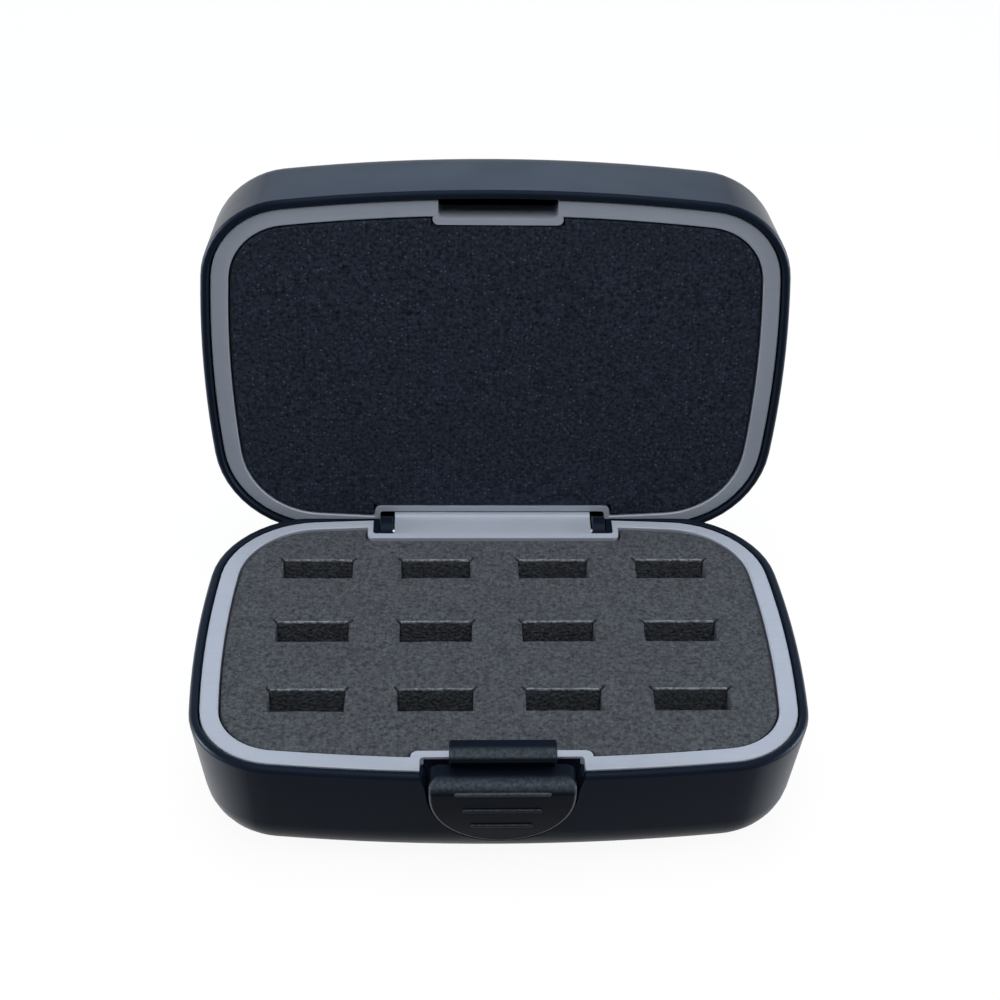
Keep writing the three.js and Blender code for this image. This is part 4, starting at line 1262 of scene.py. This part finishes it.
class CASE_OT_hinge_barrel(bpy.types.Operator):
    """Moulds the light grey hinge barrel with its cover and its leaf."""
    bl_idname = "battery_case.hinge_barrel"
    bl_label = "Hinge barrel"

    def execute(self, context):
        case, liner, _, hinge, _ = all_sizes(context)
        rim = case.base_height
        half = hinge.barrel_length / 2
        front, back = front_and_back(case)
        run = case.width / 2 - case.back_corner - case.side_bulge
        bow = case.back_bulge * (half / run) ** 2
        lean = case.lid_draft * hinge.leaf_height
        wall_face = back + case.overhang - case.wall - bow - lean - case.fit_gap
        neck_front = back - hinge.lid_notch + case.fit_gap
        neck = slab(half, neck_front, wall_face, hinge.z, rim + liner.lid_recess + liner.thickness)
        leaf = slab(half, wall_face - hinge.leaf, wall_face, hinge.z, rim + hinge.leaf_height)
        barrel = rod(hinge.barrel_radius, hinge.barrel_length, hinge.y, hinge.z)
        panel = hinge.y - hinge.panel_rise
        start = rim + liner.lid_recess - case.fit_gap - hinge.panel_fillet
        fillet = [(neck_front + (panel - neck_front) * math.cos(turned),
                   start + hinge.panel_fillet * math.sin(turned)) for turned in quarter_turns(EDGE_STEPS)]
        beyond = rim + PAST
        ahead = swept([(front, 0), (panel, 0), *fillet, (neck_front, beyond), (front, beyond)], half + PAST)
        bore = rod(hinge.pin_radius + hinge.pin_gap, hinge.barrel_length + PAST, hinge.y, hinge.z)
        made = combined(barrel, ("UNION", neck), ("DIFFERENCE", ahead), ("UNION", leaf), ("DIFFERENCE", bore))
        swung_open(made, hinge)
        place_piece("hinge_cover", made, "Liner plastic", "lid", "hinge_barrel")
        return {"FINISHED"}


class CASE_OT_steel_parts(bpy.types.Operator):
    """Gives the pins and the spring their steel, and gives the spring a mesh of its own."""
    bl_idname = "battery_case.steel_parts"
    bl_label = "Steel parts"

    def execute(self, context):
        for name in ("hinge_pin", "latch_pin", "latch_spring"):
            mesh = frame["nodes"][name].data
            mesh.materials.clear()
            mesh.materials.append(finish_named("Steel"))
        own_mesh(frame["nodes"]["latch_spring"])
        return {"FINISHED"}


# Stage

def soft_box(name, watts, size, place, aim, tint=(1, 1, 1)):
    """A rectangular area light that shines on a point."""
    lamp = bpy.data.lights.new(name, "AREA")
    lamp.energy = watts
    lamp.color = tint
    lamp.shape = "RECTANGLE"
    lamp.size, lamp.size_y = size
    made = linked(name, lamp)
    made.location = place
    made.rotation_euler = (Vector(aim) - Vector(place)).to_track_quat("-Z", "Y").to_euler()


def seen_ray(tree):
    """One for the rays that show the background: to the camera, in gloss and through glass."""
    path = tree.nodes.new("ShaderNodeLightPath")
    seen = maths(tree, "ADD", path.outputs["Is Camera Ray"], path.outputs["Is Glossy Ray"], clamp=True)
    return maths(tree, "ADD", seen, path.outputs["Is Transmission Ray"], clamp=True)


def show_blend(tree, output, amount, plain, white):
    """Shows one shader, and as much of the other as the amount says."""
    blend = add(tree, "ShaderNodeMixShader", i0=amount, i1=plain.outputs[0], i2=white.outputs[0])
    add(tree, output, Surface=blend.outputs[0])


def floor_finish(tone):
    """Pale floor that shows white to the camera and keeps the shadow."""
    material = bpy.data.materials.new("Pale floor")
    tree = emptied(material)
    seen = seen_ray(tree)
    plain = add(tree, "ShaderNodeBsdfDiffuse", Color=mixed(tree, seen, tone, WHITE))
    glow = add(tree, "ShaderNodeEmission", Color=WHITE, Strength=1.0)
    show_blend(tree, "ShaderNodeOutputMaterial", maths(tree, "MULTIPLY", seen, FLOOR_GLOW), plain, glow)
    return material


def surround_light(strength):
    """Even light all round, white where the camera sees it."""
    world = bpy.data.worlds.new("Studio")
    tree = emptied(world)
    even = add(tree, "ShaderNodeBackground", Color=SKY_TINT, Strength=strength)
    white = add(tree, "ShaderNodeBackground", Color=WHITE, Strength=1.0)
    show_blend(tree, "ShaderNodeOutputWorld", seen_ray(tree), even, white)
    bpy.context.scene.world = world


def photo_camera(stage):
    """A camera at the photograph's viewing angle."""
    camera = bpy.data.cameras.new("Camera")
    camera.lens = stage.focal
    camera.sensor_width = SENSOR_WIDTH
    camera.clip_start = NEAR_CLIP
    level = math.cos(stage.elevation)
    back = Vector((math.sin(stage.azimuth) * level, -math.cos(stage.azimuth) * level,
                   math.sin(stage.elevation)))
    facing = (-back).to_track_quat("-Z", "Y").to_matrix() @ Matrix.Rotation(stage.roll, 3, "Z")
    place = Vector((0, stage.aim_y, stage.aim_z)) + back * stage.distance
    made = linked("Camera", camera)
    made.matrix_world = Matrix.Translation(place) @ facing.to_4x4()
    bpy.context.scene.camera = made


class CASE_OT_stage(bpy.types.Operator):
    """Sets up the floor, the light and the camera."""
    bl_idname = "battery_case.stage"
    bl_label = "Stage"

    def execute(self, context):
        scene = context.scene
        stage = scene.case_stage
        bm = bmesh.new()
        bmesh.ops.create_grid(bm, x_segments=1, y_segments=1, size=FLOOR_SIZE)
        ground = mesh_object("floor", bm)
        ground.data.materials.append(floor_finish(scene.case_colours.floor))
        surround_light(stage.surround)
        soft_box("Top light", stage.top_light, size=(0.4, 0.6), place=(0, -0.13, 0.62), aim=(0, 0, 0.03))
        soft_box("Back light", stage.back_light, size=(0.5, 0.2), place=(0, 0.5, 0.3), aim=(0, 0.03, 0.07),
                 tint=BACK_TINT)
        for side in (-1, 1):
            soft_box("Side light", stage.side_light, size=(0.2, 0.2), place=(side * 0.5, 0.02, 0.1),
                     aim=(0, 0, 0.02))
        photo_camera(stage)
        scene.view_settings.view_transform = "Standard"
        return {"FINISHED"}


PIECES = (CASE_OT_base_shell, CASE_OT_base_liner, CASE_OT_slotted_foam, CASE_OT_foam_pad,
          CASE_OT_latch_button, CASE_OT_lid_shell, CASE_OT_lid_liner, CASE_OT_lid_foam, CASE_OT_hinge_barrel,
          CASE_OT_steel_parts, CASE_OT_stage)
SETTINGS = {"case_sizes": CaseSizes, "case_liner": LinerSizes, "case_foam": FoamSizes,
            "case_hinge": HingeSizes, "case_latch": LatchSizes, "case_colours": FinishColours,
            "case_stage": StageSettings}


class CASE_PT_panel(bpy.types.Panel):
    """Lists the pieces and the sizes and colours that they take."""
    bl_idname = "CASE_PT_panel"
    bl_label = "Battery case"
    bl_space_type = "VIEW_3D"
    bl_region_type = "UI"
    bl_category = "Battery case"

    def draw(self, context):
        for piece in PIECES:
            self.layout.operator(piece.bl_idname)
        for name, settings in SETTINGS.items():
            box = self.layout.box()
            box.label(text=settings.__doc__)
            for label in settings.__annotations__:
                box.prop(getattr(context.scene, name), label)


def register():
    for name, settings in SETTINGS.items():
        bpy.utils.register_class(settings)
        setattr(bpy.types.Scene, name, PointerProperty(type=settings))
    for piece in (*PIECES, CASE_PT_panel):
        bpy.utils.register_class(piece)


def unregister():
    for piece in (CASE_PT_panel, *reversed(PIECES)):
        bpy.utils.unregister_class(piece)
    for name, settings in reversed(SETTINGS.items()):
        delattr(bpy.types.Scene, name)
        bpy.utils.unregister_class(settings)


def main():
    register()
    for piece in PIECES:
        group, name = piece.bl_idname.split(".")
        getattr(getattr(bpy.ops, group), name)()


if __name__ == "__main__":
    main()
